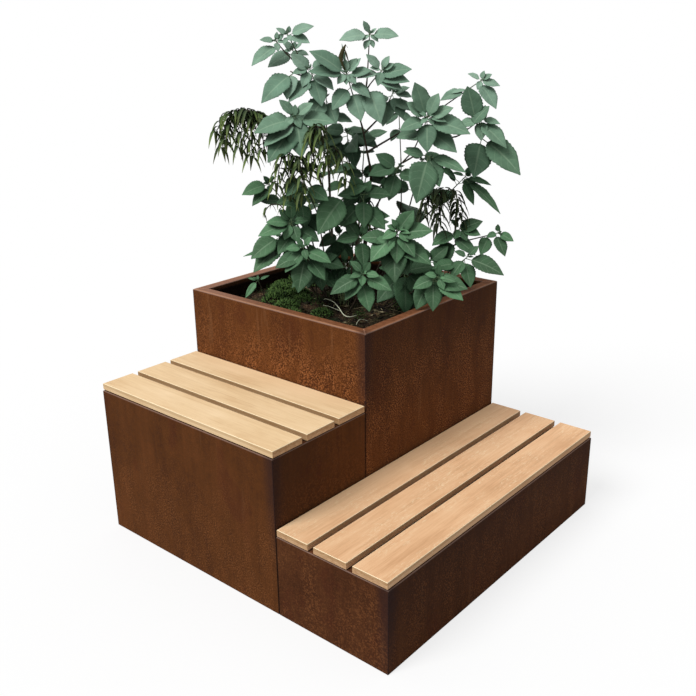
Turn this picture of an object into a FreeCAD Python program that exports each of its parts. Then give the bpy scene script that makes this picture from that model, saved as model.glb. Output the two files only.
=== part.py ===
import FreeCAD, Part

import math
import os

import Sketcher
from FreeCAD import Placement, Rotation, Vector

# Bench with planter: a square weathering-steel planter with a high bench along its front
# and a low bench along its right side. The origin is on the ground under the planter's
# centre, X runs along the high bench, Y from the front to the back and Z up.
DOCUMENT = FreeCAD.newDocument("bench_with_planter")
SHEET = DOCUMENT.addObject("Spreadsheet::Sheet", "Sizes")

# Driving sizes in millimetres, each with what it measures.
SIZES = [
    ("planter_length", 800, "planter, outside, along X"),
    ("planter_depth", 760, "planter, outside, along Y"),
    ("planter_height", 775, "ground to the planter's rim"),
    ("planter_flange", 40, "width of the rim's folded top"),
    ("planter_lip", 18, "depth of the rim's turned-down edge"),
    ("high_seat", 540, "ground to the top of the high bench's slats"),
    ("low_seat", 293, "ground to the top of the low bench's slats"),
    ("bench_flange", 40, "width of a bench shell's folded top"),
    ("bench_lip", 15, "depth of a bench shell's turned-down edge"),
    ("module_gap", 3, "gap between two modules"),
    ("sheet", 3, "thickness of the steel sheet"),
    ("bend_radius", 4, "outside radius of a fold"),
    ("slat_width", 120, "width of a slat"),
    ("slat_thickness", 21, "thickness of a slat"),
    ("slat_space", 22, "gap between two slats"),
    ("slat_inset", 3, "shell's outer face to the nearest slat's edge"),
    ("slat_arris", 2, "rounding along a slat's top edges"),
    ("pad_side", 34, "side of a pad under a slat"),
    ("pad_thickness", 3, "thickness of a pad under a slat"),
    ("screw_diameter", 6, "shank of a slat screw"),
    ("screw_depth", 16, "length of a screw inside its slat"),
    ("screw_head_diameter", 13, "head of a slat screw"),
    ("screw_head_height", 4, "height of a slat screw's head"),
    ("screw_clearance", 1, "extra diameter of a screw's hole in steel"),
    ("rail_width", 50, "width of a cross rail under the slats"),
    ("foot_side", 80, "side of a corner foot plate"),
    ("foot_thickness", 5, "thickness of a corner foot plate"),
    ("anchor_inset", 45, "shell's inside face to the anchor hole's centre"),
    ("anchor_hole", 12, "diameter of an anchor hole"),
    ("bearer_width", 80, "width of a channel under the planter"),
    ("bearer_height", 57, "height of a channel under the planter"),
    ("bearer_end", 112, "middle of an outer channel to the planter's face"),
    ("drain_hole", 20, "diameter of a drainage hole"),
    ("drain_spacing", 240, "one drainage hole to the next along X"),
    ("gravel_depth", 80, "depth of the drainage gravel"),
    ("fleece_thickness", 3, "thickness of the filter fleece"),
    ("soil_below_rim", 42, "rim down to the top of the mounded soil"),
    ("soil_radius", 2600, "radius of the soil's mounded top"),
    ("link_height", 30, "ground to the bolts that link the modules"),
    ("link_spacing", 250, "planter's middle to a link bolt along X"),
    ("link_side_spacing", 125, "planter's middle to a link bolt along Y"),
    ("link_diameter", 10, "shank of a link bolt"),
    ("link_clearance", 1, "extra diameter of a link bolt's hole"),
    ("link_head_height", 7, "height of a link bolt's head"),
    ("link_nut_height", 8, "height of a link bolt's nut"),
    ("link_across_corners", 19, "width of a link bolt's head and nut"),
    ("link_spacer_diameter", 24, "outside of the spacer ring in the gap"),
    ("link_tail", 4, "link bolt's end beyond its nut"),
]
ALIASES = [alias for alias, number, meaning in SIZES]

# Heights, lengths and places that follow from the driving sizes.
BENCH_WIDTH = "( 3 * slat_width + 2 * slat_space + 2 * slat_inset )"
HIGH_SHELL = "( high_seat - slat_thickness - pad_thickness )"
LOW_SHELL = "( low_seat - slat_thickness - pad_thickness )"
HIGH_LENGTH = "planter_length"
LOW_LENGTH = f"( planter_depth + module_gap + {BENCH_WIDTH} )"
HIGH_Y = f"( 0 - planter_depth / 2 - module_gap - {BENCH_WIDTH} / 2 )"
LOW_X = f"( planter_length / 2 + module_gap + {BENCH_WIDTH} / 2 )"
LOW_Y = f"( 0 - ( module_gap + {BENCH_WIDTH} ) / 2 )"
SLAT_PITCH = "( slat_width + slat_space )"
BEARER_SPACING = "( planter_depth / 2 - bearer_end )"
BASE_TOP = "( bearer_height + sheet )"
SOIL_FOOT = "( bearer_height + sheet + gravel_depth + fleece_thickness )"
SLAT_ROWS = (-1, 0, 1)
SLAT_NAMES = ("outer", "middle", "inner")
HIGH_RAILS = (0,)
LOW_RAILS = (-1, 1)
CLOSE = 0.01

# The shrub's stems. Each is a route from its foot to its tip in millimetres: X and Y from the
# planter's middle, and the height above the rim, where None is the soil's surface. Before the
# route stand the stem's thickness at its foot and the group that its leaves belong to.
STEMS = {
    "main": (15, "crown",
             [(20, 40, None), (60, 50, 230), (88, 36, 405), (80, 0, 560), (69, -66, 735)]),
    "grey": (13, "crown", [(-40, -20, None), (-14, -60, 270), (0, -92, 520), (10, -100, 660)]),
    "left": (10, "left", [(-75, -30, None), (-118, -90, 172), (-156, -130, 292), (-201, -171, 366)]),
    "left_inner": (8, "left", [(-30, -70, None), (-34, -150, 120), (-45, -228, 262)]),
    "left_rim": (7, "low", [(-90, -60, None), (-118, -130, 90), (-142, -186, 190)]),
    "left_centre": (8, "left", [(-50, -60, None), (-62, -112, 190), (-70, -150, 330)]),
    "front_left": (8, "front", [(0, -95, None), (18, -190, 70), (34, -255, 190)]),
    "front_middle": (7, "front", [(120, -125, None), (208, -190, 32), (270, -230, 136)]),
    "front_high": (9, "front", [(95, -25, None), (190, -50, 110), (292, -76, 252)]),
    "front_right": (7, "low", [(190, -5, None), (320, -25, 40), (425, -34, 108)]),
    "centre": (9, "front", [(60, -40, None), (100, -62, 180), (135, -60, 350)]),
    "centre_low": (8, "front", [(70, -70, None), (110, -95, 120), (150, -90, 215)]),
    "low_left": (6, "low", [(-40, -110, None), (-15, -150, 60), (5, -160, 125)]),
    "low_centre": (6, "low", [(40, -60, None), (58, -76, 60), (64, -80, 108)]),
    "low_right": (7, "low", [(170, 10, None), (225, 30, 40), (262, 0, 92)]),
    "low_far": (7, "low", [(200, 120, None), (256, 140, 50), (275, 120, 104)]),
    "low_back": (7, "low", [(20, 120, None), (60, 140, 60), (100, 154, 114)]),
    "low_middle": (6, "low", [(0, 10, None), (0, -20, 90), (-4, -30, 190)]),
    "rim_left": (5, "low", [(-166, -236, None), (-168, -262, 20), (-169, -276, 48)]),
    "slender": (6, "back", [(85, 120, None), (91, 205, 268), (87, 206, 429), (80, 200, 605)]),
    "thin_left": (6, "front", [(-20, -60, None), (8, -151, 280), (21, -246, 437)]),
    "thin_centre": (6, "front", [(30, -40, None), (28, 24, 236), (56, 48, 390)]),
    "thin_right": (6, "front", [(100, -10, None), (113, 31, 263), (118, 75, 406)]),
    "right_low": (9, "right", [(120, 95, None), (235, 165, 100), (335, 222, 212)]),
    "right_rim": (7, "low", [(170, 110, None), (300, 150, 35), (395, 182, 128)]),
    "right_under": (9, "right", [(55, 85, None), (175, 180, 205), (318, 272, 385)]),
    "back": (11, "back", [(-30, 80, None), (-60, 150, 220), (-75, 200, 490)]),
    "back_right": (9, "back", [(40, 110, None), (95, 215, 180), (120, 285, 420)]),
    "back_left": (9, "back", [(-95, 45, None), (-160, 100, 130), (-225, 130, 345)]),
    "back_low": (7, "low", [(-60, 130, None), (-90, 220, 65), (-115, 275, 160)]),
}
# Branches leave a stem at a share of its length and go on through their own points.
BRANCHES = {
    "apex": ("main", 0.80, "crown", [(84, 20, 700), (70, 52, 852)]),
    "left_middle": ("grey", 0.45, "left", [(-12, -160, 510), (-14, -225, 606)]),
    "top_left": ("grey", 0.80, "crown", [(-50, -112, 720), (-104, -154, 855)]),
    "top_left_side": ("grey", 0.84, "crown", [(-60, -92, 700), (-128, -108, 806)]),
    "top_outer": ("top_left", 0.62, "crown", [(-112, -160, 800), (-133, -179, 835)]),
    "right_middle": ("main", 0.46, "right", [(157, 108, 429), (216, 107, 484), (286, 88, 598)]),
    "right_outer": ("right_middle", 0.80, "right", [(323, 198, 522), (366, 286, 580)]),
    "right_top": ("main", 0.66, "right", [(222, 232, 604), (309, 364, 699)]),
    "inner_left": ("main", 0.45, "back", [(10, 10, 430), (-25, 45, 530)]),
    "inner_right": ("main", 0.36, "back", [(140, 40, 340), (190, 60, 430)]),
    "far_right": ("right_low", 0.62, "right", [(330, 250, 160), (425, 325, 190)]),
    "crown_left": ("grey", 0.88, "crown", [(-20, -110, 690), (-34, -128, 748)]),
    "crown_right": ("main", 0.84, "crown", [(110, -10, 690), (150, 16, 742)]),
    "shoulder": ("top_left", 0.70, "crown", [(-50, -138, 724), (-84, -168, 742)]),
    "right_hanging": ("right_outer", 0.90, "right", [(360, 286, 536), (367, 288, 512)]),
    "crown_low": ("main", 0.74, "crown", [(120, 60, 600), (140, 88, 668)]),
    "big_leaf": ("grey", 0.38, "front", [(40, -100, 290), (96, -110, 350)]),
    "hanging": ("right_middle", 0.45, "right", [(250, 84, 476), (288, 92, 470)]),
}
# Leaves of a stem or branch: how far back from its tip each one stands, the hour that it points
# to on a clock face seen from the planter's front right corner, and its length.
ROSETTES = {
    "apex": [(2, 8.7, 104), (2, 3.1, 96), (0, 11.2, 46), (0, 1.6, 28), (0, 4.4, 40), (14, 6.8, 42),
             (14, 5.2, 36), (0, 7.6, 34)],
    "top_left": [(4, 2.4, 88), (6, 3.6, 76), (4, 10.1, 44), (6, 7.0, 34), (0, 12.4, 26), (0, 4.9, 30)],
    "top_outer": [(0, 9.2, 52), (14, 7.8, 116), (2, 5.6, 36), (0, 12.2, 28), (2, 1.5, 34), (0, 3.4, 30)],
    "top_left_side": [(10, 8.1, 102), (4, 10.6, 44), (8, 3.4, 52), (0, 4.8, 36), (0, 12.6, 28),
                      (0, 1.9, 36), (0, 8.8, 30)],
    "main": [(8, 10.1, 142), (6, 9.2, 126), (48, 7.4, 100), (4, 1.4, 66), (10, 2.6, 80), (0, 4.6, 50),
             (0, 7.4, 48), (0, 11.8, 44), (30, 4.2, 90), (60, 5.4, 110), (0, 1.2, 56), (0, 6.0, 40),
             (0, 11.7, 92, 0.12)],
    "crown_left": [(4, 6.9, 64), (10, 10.4, 84), (14, 4.2, 96), (0, 2.0, 60), (0, 8.6, 60),
                   (30, 7.6, 118), (24, 5.4, 110)],
    "shoulder": [(12, 7.65, 150, 0.6), (8, 6.4, 96)],
    "crown_right": [(26, 2.6, 116), (30, 3.2, 112), (34, 3.7, 100), (72, 5.3, 132), (4, 10.6, 70),
                    (0, 1.0, 50), (0, 6.6, 56), (10, 8.6, 80), (0, 2.0, 44), (0, 9.4, 40)],
    "crown_low": [(0, 3.4, 66), (4, 2.3, 60), (8, 5.2, 92), (12, 8.2, 84), (0, 10.4, 40), (20, 6.6, 104),
                  (26, 3.8, 88), (0, 12.8, 36)],
    "grey": [(0, 7.3, 122), (10, 5.2, 90), (0, 10.4, 70), (36, 8.1, 168), (60, 3.4, 90), (80, 7.8, 100),
             (64, 8.7, 150)],
    "left_middle": [(10, 8.5, 145), (20, 7.9, 138), (30, 7.4, 165), (12, 5.7, 130), (0, 10.6, 72),
                    (14, 3.1, 125), (0, 1.8, 72), (0, 5.0, 44), (0, 7.8, 48), (0, 12.0, 38),
                    (44, 4.4, 120), (52, 9.2, 120)],
    "left": [(0, 8.4, 102), (12, 7.6, 96), (4, 10.8, 38), (0, 1.0, 32), (0, 5.6, 34), (60, 3.6, 80),
             (80, 9.2, 90)],
    "left_inner": [(0, 12.0, 70), (10, 8.5, 122), (6, 9.2, 86), (8, 5.3, 70), (6, 6.9, 62),
                   (0, 2.8, 60), (0, 10.6, 58), (30, 3.8, 96), (40, 7.4, 100)],
    "left_rim": [(0, 7.9, 128), (30, 7.7, 150), (6, 4.0, 74), (0, 2.0, 46), (0, 6.5, 62), (40, 5.2, 90),
                 (56, 8.85, 160, 0.2)],
    "left_centre": [(0, 8.6, 90), (0, 3.2, 92), (14, 5.8, 100), (20, 10.6, 90), (34, 7.4, 105),
                    (60, 4.4, 100), (0, 12.4, 50), (80, 8.8, 100)],
    "front_left": [(34, 6.45, 130), (12, 7.5, 98), (14, 3.7, 100), (0, 5.4, 42), (0, 10.9, 42),
                   (0, 1.2, 46), (0, 9.0, 60), (26, 8.3, 112), (44, 4.6, 100)],
    "front_middle": [(14, 8.2, 120, 0.55), (22, 7.4, 92), (36, 5.5, 104), (18, 3.7, 104, 0.6),
                     (0, 10.5, 58), (0, 3.2, 52), (0, 6.3, 42), (0, 8.6, 46), (0, 1.0, 42)],
    "front_high": [(20, 1.2, 96), (24, 2.7, 122), (0, 8.2, 62), (0, 4.6, 50), (10, 6.1, 105),
                   (18, 7.6, 128), (14, 4.7, 100), (40, 6.0, 150), (0, 11.0, 42), (46, 9.2, 110),
                   (56, 3.9, 150), (66, 5.0, 120), (0, 3.4, 40), (0, 9.8, 40)],
    "front_right": [(26, 6.1, 104), (20, 4.1, 116, 0.6), (0, 3.4, 58), (0, 5.2, 46), (0, 12.0, 42),
                    (0, 9.5, 46), (14, 8.4, 84), (34, 3.3, 120), (50, 7.0, 100)],
    "centre": [(0, 9.0, 90), (0, 3.0, 92), (14, 6.0, 104), (20, 11.2, 90), (34, 7.6, 110),
               (44, 4.4, 112), (70, 9.0, 110), (84, 2.8, 100), (0, 12.8, 50)],
    "centre_low": [(0, 8.8, 90), (0, 3.4, 88), (12, 5.8, 96), (16, 10.8, 80), (0, 12.6, 46)],
    "low_left": [(0, 8.6, 110), (0, 3.4, 100), (6, 5.6, 105), (6, 6.7, 100), (0, 11.2, 60),
                 (10, 10.0, 90), (16, 2.2, 80), (30, 7.8, 110), (34, 4.4, 100)],
    "low_centre": [(0, 9.0, 90), (0, 3.0, 90), (8, 5.9, 100), (10, 7.4, 96), (10, 4.4, 96),
                   (0, 12.0, 46)],
    "low_right": [(0, 6.0, 150), (4, 4.4, 140), (8, 7.6, 140), (0, 2.6, 100), (0, 9.4, 90),
                  (0, 11.6, 50)],
    "low_far": [(0, 3.4, 110), (0, 8.4, 110), (6, 5.8, 120), (0, 11.4, 50), (8, 1.6, 90),
                (10, 10.0, 80)],
    "low_back": [(0, 8.4, 110), (0, 3.4, 100), (6, 5.8, 110), (10, 10.4, 80), (10, 1.6, 80)],
    "low_middle": [(0, 8.1, 84), (0, 3.4, 56), (12, 6.4, 80), (0, 11.6, 36), (30, 4.6, 74),
                   (36, 7.6, 84)],
    "rim_left": [(0, 7.3, 76, 0.36), (0, 2.2, 44, 0.36), (0, 9.6, 36, 0.36)],
    "slender": [(0, 2.6, 62), (0, 9.4, 60), (6, 4.6, 70), (10, 7.6, 66), (0, 12.2, 40), (64, 7.2, 60),
                (90, 3.4, 76)],
    "thin_left": [(0, 10.2, 60), (0, 2.4, 64), (20, 7.4, 84), (60, 4.0, 90), (110, 8.6, 92)],
    "thin_centre": [(0, 9.3, 80), (0, 3.5, 84), (12, 6.1, 96), (16, 12.6, 60), (60, 8.0, 90)],
    "thin_right": [(0, 9.0, 70), (0, 2.9, 60), (10, 5.6, 84), (44, 7.9, 92), (0, 11.6, 50)],
    "big_leaf": [(0, 7.3, 165), (4, 2.2, 80)],
    "right_low": [(16, 2.2, 96), (0, 3.5, 74), (40, 4.2, 106), (20, 8.2, 100), (0, 7.2, 46),
                  (0, 5.0, 50), (0, 10.4, 46), (52, 6.6, 110)],
    "right_rim": [(8, 3.7, 142), (12, 7.4, 86), (16, 5.6, 100), (0, 1.5, 52), (0, 9.8, 50),
                  (40, 8.8, 100)],
    "far_right": [(10, 5.2, 88), (0, 3.8, 62), (0, 8.5, 46), (0, 12.0, 30), (30, 7.0, 80)],
    "right_middle": [(16, 11.4, 126), (8, 12.8, 86), (10, 2.2, 90), (18, 3.5, 150), (0, 3.5, 62),
                     (14, 6.05, 112), (14, 8.4, 100), (10, 10.3, 86), (0, 5.0, 38), (0, 7.6, 38),
                     (0, 9.8, 36), (50, 4.1, 138), (60, 8.6, 90)],
    "right_outer": [(18, 4.4, 134), (4, 6.1, 76), (4, 3.4, 66), (26, 11.5, 122), (16, 8.6, 74),
                    (0, 9.8, 40), (0, 12.5, 44), (50, 1.4, 90), (60, 9.0, 90)],
    "right_hanging": [(0, 6.5, 142, 0.8), (2, 4.42, 184, 0.62)],
    "right_top": [(12, 4.9, 114), (6, 3.4, 70), (0, 9.8, 52), (0, 12.6, 32), (0, 7.0, 38),
                  (58, 8.6, 64, 0.35), (66, 8.4, 100, 0.5), (70, 5.2, 100), (0, 2.0, 40)],
    "right_under": [(10, 4.42, 180, 0.3), (4, 3.5, 96, 0.34), (0, 9.5, 50, 0.4), (16, 5.2, 100, 0.4),
                    (30, 10.2, 96, 0.3), (42, 10.9, 80, 0.3), (36, 2.6, 84, 0.4), (60, 7.6, 90),
                    (0, 1.2, 40)],
    "hanging": [(0, 6.6, 168), (2, 5.3, 112), (8, 9.4, 80), (4, 3.7, 140, 0.4)],
    "inner_left": [(0, 3.8, 120), (10, 8.4, 120), (20, 5.5, 110), (30, 7.2, 112), (46, 2.5, 100),
                   (60, 9.5, 110)],
    "inner_right": [(0, 8.6, 112), (10, 10.2, 90), (20, 6.6, 104), (30, 3.2, 96)],
}
# Stems at the back carry opposite pairs, each a quarter turn from the next: the length of the
# largest leaves, the count of pairs, the distance between two, and the turn of the last.
PAIRS = {
    "back": (150, 4, 55, 20),
    "back_right": (135, 4, 55, 65),
    "back_left": (130, 4, 50, 40),
    "back_low": (130, 3, 34, 25),
    "inner_left": (120, 2, 40, 10),
}
# Tassels are tufts of narrow hanging leaves along drooping twigs: the tassel that a twig belongs
# to, the branch that it leaves and at which share, the length and the count of its leaves, and
# the twig's points.
TASSELS = {
    "left_near": ("left", "left_middle", 0.86, 84, 32,
                  [(-170, -305, 632), (-230, -330, 613), (-258, -352, 550)]),
    "left_outer": ("left", "left_middle", 0.90, 84, 32,
                   [(-156, -305, 630), (-195, -326, 620), (-217, -344, 525)]),
    "left_centre": ("left", "left_middle", 0.88, 84, 32,
                    [(-139, -303, 627), (-156, -318, 615), (-168, -329, 502)]),
    "left_inner": ("left", "left_middle", 0.82, 84, 32,
                   [(-129, -295, 615), (-138, -303, 584), (-139, -304, 475)]),
    "left_last": ("left", "left_middle", 0.78, 76, 26,
                  [(-105, -300, 604), (-97, -294, 573), (-94, -292, 496)]),
    "left_front": ("left", "left_middle", 0.92, 84, 32,
                   [(-212, -288, 617), (-256, -300, 583), (-272, -314, 492)]),
    "middle_right": ("middle", "left_middle", 0.62, 84, 28,
                     [(90, -239, 591), (117, -242, 568), (125, -236, 463)]),
    "middle_left": ("middle", "left_middle", 0.56, 84, 28,
                    [(66, -233, 577), (61, -238, 540), (64, -235, 440)]),
    "middle_far": ("middle", "grey", 0.55, 80, 26,
                   [(82, -167, 515), (106, -146, 496), (120, -134, 400)]),
    "middle_low": ("middle", "thin_centre", 0.82, 80, 26, [(62, 26, 345), (68, 32, 324), (73, 36, 212)]),
    "lower_left": ("lower", "left_middle", 0.40, 84, 26,
                   [(2, -288, 503), (-13, -301, 478), (-23, -310, 396)]),
    "lower_right": ("lower", "left_middle", 0.44, 84, 28,
                    [(44, -278, 493), (51, -273, 461), (54, -270, 366)]),
    "lower_middle": ("lower", "left_middle", 0.34, 80, 26,
                     [(-3, -266, 462), (-4, -267, 437), (-6, -269, 353)]),
    "lower_curl": ("lower", "left_inner", 0.90, 46, 8,
                   [(-86, -232, 319), (-114, -256, 319), (-133, -272, 285)]),
    "right_left": ("right", "right_under", 0.72, 84, 28,
                   [(285, 166, 355), (257, 142, 335), (240, 127, 260)]),
    "right_middle": ("right", "right_under", 0.76, 84, 32,
                     [(307, 158, 359), (297, 150, 332), (294, 147, 228)]),
    "right_right": ("right", "right_under", 0.80, 84, 28,
                    [(295, 200, 352), (316, 218, 338), (329, 229, 240)]),
}
# Cushions of moss on the soil: X, Y and the radius of each.
MOSS = [
    (-250, -75, 62),
    (-195, -160, 58),
    (-310, -15, 50),
    (-160, -85, 54),
    (-330, 75, 48),
    (-225, 50, 60),
    (-95, -215, 55),
    (-20, -265, 46),
    (-102, -125, 42),
    (60, -200, 42),
    (135, 235, 50),
    (50, 300, 54),
]

# A stem's sides, the level way that its section is turned from, the thickness of a twig's end,
# and that of a branch and a twig at their foot.
STEM_CORNERS = 6
LEVEL_START = Vector(0.37, 0.93, 0)
TWIG_END = 3
BRANCH_FOOT = 7
TWIG_FOOT = 4
# A leaf's stations: the share of its length, and the share of its width beside the midrib.
LEAF_STATIONS = [(0.14, 0.02), (0.38, 0.46), (0.64, 0.42)]
NARROW_STATIONS = [(0.46, 0.5)]
LEAF_WIDTH = 0.74
LEAF_FOLD = 0.2
LEAF_RIB = 2.5
# The youngest leaves stand steeper, are smaller and hang less than the oldest of a stem.
YOUNG_RISE = 58
YOUNG_SIZE = 0.5
YOUNG_DROOP = 0.12
OLD_DROOP = 0.42
# Leaves lean to the level and look to the light and away from the shrub's middle.
LEVELLED = 0.7
LIGHT_SIDE = (0.36, -0.46, 0.7)
LOOK_OUT = 0.35
SHRUB_MIDDLE = (0, 60)
# The clock face that a rosette's leaves are given on: the way to its three, its twelve, and out
# of its front, and the degrees of an hour. A leaf leans out of the face by LEAN, less if it
# points up and more if down.
ACROSS = Vector(0.76, 0.65, 0)
UPRIGHT = Vector(0, 0, 1)
TOWARD = Vector(0.65, -0.76, 0)
HOUR = 30
LEAN = 0.25
LEAN_SWING = 0.35
ROSETTE_WIDTH = 0.68
ROSETTE_DROOP = 0.10
FULL_LENGTH = 150
# Such leaves look up, to the front, and by turns a little to one side and the other.
LOOK_UP = 0.75
LOOK_FRONT = 0.5
LOOK_ASIDE = 0.22
# Narrow leaves round the last share of a tassel's twig, each turned on from the one before and
# seated a share of the twig's thickness out from its middle line.
TASSEL_SHARE = 0.6
TASSEL_WIDTH = 0.16
TASSEL_SEAT = 0.25
TASSEL_TURN = 137.5
TASSEL_RISE = 0.35
TASSEL_REACH = 0.55
TASSEL_DROOP = 0.85
TASSEL_UNEVEN = 0.2
# How much of its radius a moss cushion's centre lies under the soil.
MOSS_SUNK = 0.55
# Corners closer than this are one corner of a faceted solid.
SEAM = 0.001


def write_sizes():
    for row, (alias, number, meaning) in enumerate(SIZES, start=1):
        SHEET.set(f"A{row}", alias)
        SHEET.set(f"B{row}", str(number))
        SHEET.set(f"C{row}", meaning)
        SHEET.setAlias(f"B{row}", alias)
    DOCUMENT.recompute()


def spelled(formula, spell):
    """The formula with each size's name replaced by what spell makes of it."""
    spaced = str(formula).replace("(", " ( ").replace(")", " ) ")
    return " ".join(spell(word) if word in ALIASES else word for word in spaced.split())


def linked(formula):
    return spelled(formula, lambda alias: f"Sizes.{alias}")


def value(formula):
    """The number of millimetres that a formula of size names comes to."""
    numbers = spelled(formula, lambda alias: str(float(SHEET.get(alias))))
    return FreeCAD.Units.parseQuantity(numbers).Value


def plane_of(body, role):
    return next(plane for plane in body.Origin.OriginFeatures if plane.Role == role)


def new_body(label):
    body = DOCUMENT.addObject("PartDesign::Body", label)
    body.Label = label
    return body


def new_sketch(body, name, role):
    """An empty sketch on one of the body's own origin planes."""
    sketch = body.newObject("Sketcher::SketchObject", name)
    sketch.AttachmentSupport = [(plane_of(body, role), "")]
    sketch.MapMode = "FlatFace"
    return sketch


def pin_point(sketch, edge, end, x, y):
    """Holds one end of an edge at two formulas, counted from the sketch's origin."""
    for kind, formula in (("DistanceX", x), ("DistanceY", y)):
        number = sketch.addConstraint(Sketcher.Constraint(kind, -1, 1, edge, end, value(formula)))
        sketch.setExpression(f"Constraints[{number}]", linked(formula))


def draw_outline(sketch, corners):
    """A closed outline through corners given as pairs of formulas."""
    points = [Vector(value(x), value(y), 0) for x, y in corners]
    first = sketch.GeometryCount
    for start, end in zip(points, points[1:] + points[:1]):
        sketch.addGeometry(Part.LineSegment(start, end))
    count = len(points)
    for step in range(count):
        here, after = first + step, first + (step + 1) % count
        sketch.addConstraint(Sketcher.Constraint("Coincident", here, 2, after, 1))
    for step, (x, y) in enumerate(corners):
        pin_point(sketch, first + step, 1, x, y)


def draw_box(sketch, x_low, y_low, x_high, y_high):
    draw_outline(sketch, [(x_low, y_low), (x_high, y_low), (x_high, y_high), (x_low, y_high)])


def draw_circle(sketch, x, y, diameter):
    centre = Vector(value(x), value(y), 0)
    edge = sketch.addGeometry(Part.Circle(centre, Vector(0, 0, 1), value(diameter) / 2))
    pin_point(sketch, edge, 3, x, y)
    number = sketch.addConstraint(Sketcher.Constraint("Diameter", edge, value(diameter)))
    sketch.setExpression(f"Constraints[{number}]", linked(diameter))


def pad(body, sketch, length, midplane=False):
    feature = body.newObject("PartDesign::Pad", "Pad")
    feature.Profile = sketch
    feature.Midplane = midplane
    feature.setExpression("Length", linked(length))
    DOCUMENT.recompute()
    return feature


def cut(body, sketch, name, depth=None, both_ways=False):
    """Cuts the sketch into the body: right through both ways, unless a depth is given."""
    before = body.Shape.Volume
    feature = body.newObject("PartDesign::Pocket", name)
    feature.Profile = sketch
    if depth is None:
        feature.Type = "ThroughAll"
        feature.Midplane = True
    else:
        feature.Midplane = both_ways
        feature.Reversed = not both_ways
        feature.setExpression("Length", linked(depth))
    DOCUMENT.recompute()
    if feature.Shape.Volume >= before:
        raise ValueError(f"{body.Label}: {name} cuts nothing")


def round_edges(body, base, radius, chosen, name):
    """Fillets the edges of base whose middle the test chosen accepts."""
    names = []
    for number, edge in enumerate(base.Shape.Edges, start=1):
        middle = edge.valueAt((edge.FirstParameter + edge.LastParameter) / 2)
        if chosen(middle):
            names.append(f"Edge{number}")
    feature = body.newObject("PartDesign::Fillet", name)
    feature.Base = (base, names)
    feature.setExpression("Radius", linked(radius))
    DOCUMENT.recompute()
    return feature


def place(piece, x="0", y="0", z="0", turn=0):
    """Turns the piece about Z, then moves it by three formulas."""
    piece.Placement = Placement(Vector(0, 0, 0), Rotation(Vector(0, 0, 1), turn))
    for axis, formula in zip("xyz", (x, y, z)):
        piece.setExpression(f".Placement.Base.{axis}", linked(formula))


def folded_panel(label, length, height, flange, lip, wall_holes=(), top_holes=()):
    """A sheet panel with its top folded inward and its edge turned down.

    Its outer face lies at Y 0 and looks along -Y. Both ends are mitred at 45 degrees.
    """
    body = new_body(label)
    profile = new_sketch(body, label + "_profile", "YZ_Plane")
    turned = f"( {flange} - sheet )"
    corners = [("0", "0"), ("0", height), (flange, height)]
    corners += [(flange, f"( {height} - {lip} )"), (turned, f"( {height} - {lip} )")]
    corners += [(turned, f"( {height} - sheet )"), ("sheet", f"( {height} - sheet )"), ("sheet", "0")]
    draw_outline(profile, corners)
    folded = pad(body, profile, length, midplane=True)

    top, width = value(height), value(flange)

    def outside_of_a_fold(middle):
        at_fold = min(abs(middle.y), abs(middle.y - width)) < CLOSE
        return at_fold and abs(middle.z - top) < CLOSE

    round_edges(body, folded, "bend_radius", outside_of_a_fold, "Folds")

    mitre = new_sketch(body, label + "_mitre", "XY_Plane")
    end = f"( {length} / 2 )"
    for sign in ("", "0 - "):
        outer = f"( {sign}( {end} ) )"
        inner = f"( {sign}( {end} - {flange} ) )"
        draw_outline(mitre, [(outer, "0"), (outer, flange), (inner, flange)])
    cut(body, mitre, "Mitre")

    if wall_holes:
        holes = new_sketch(body, label + "_wall_holes", "XZ_Plane")
        for x, z, diameter in wall_holes:
            draw_circle(holes, x, z, diameter)
        cut(body, holes, "WallHoles", "3 * sheet", both_ways=True)
    if top_holes:
        holes = new_sketch(body, label + "_top_holes", "XY_Plane")
        for x, y, diameter in top_holes:
            draw_circle(holes, x, y, diameter)
        cut(body, holes, "TopHoles")
    return body


def shell(prefix, across, deep, height, flange, lip, centre_x, centre_y, wall_holes, top_holes):
    """Four mitred panels round a rectangle: front, right, back and left."""
    sides = {
        "front": (across, centre_x, f"( {centre_y} - {deep} / 2 )", 0),
        "right": (deep, f"( {centre_x} + {across} / 2 )", centre_y, 90),
        "back": (across, centre_x, f"( {centre_y} + {deep} / 2 )", 180),
        "left": (deep, f"( {centre_x} - {across} / 2 )", centre_y, 270),
    }
    for side, (length, x, y, turn) in sides.items():
        panel = folded_panel(
            f"{prefix}_{side}_panel",
            length,
            height,
            flange,
            lip,
            wall_holes.get(side, ()),
            top_holes.get(side, ()),
        )
        place(panel, x, y, "0", turn)


def planter_shell():
    hole = "( link_diameter + link_clearance )"
    front = [(f"( {sign} link_spacing )", "link_height", hole) for sign in ("0 -", "0 +")]
    right = [(f"( {sign} link_side_spacing )", "link_height", hole) for sign in ("0 -", "0 +")]
    shell(
        "planter",
        "planter_length",
        "planter_depth",
        "planter_height",
        "planter_flange",
        "planter_lip",
        "0",
        "0",
        {"front": front, "right": right},
        {},
    )


def slat_screw_places():
    """Where the slat screws pass the folded top of a shell's end panel."""
    hole = "( screw_diameter + screw_clearance )"
    return [(f"( {row} * {SLAT_PITCH} )", "( bench_flange / 2 )", hole) for row in SLAT_ROWS]


def high_bench_shell():
    hole = "( link_diameter + link_clearance )"
    back = [(f"( {sign} link_spacing )", "link_height", hole) for sign in ("0 -", "0 +")]
    right = [(f"( {sign} link_side_spacing / 2 )", "link_height", hole) for sign in ("0 -", "0 +")]
    ends = slat_screw_places()
    shell(
        "high_bench",
        HIGH_LENGTH,
        BENCH_WIDTH,
        HIGH_SHELL,
        "bench_flange",
        "bench_lip",
        "0",
        HIGH_Y,
        {"back": back, "right": right},
        {"left": ends, "right": ends},
    )


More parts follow.
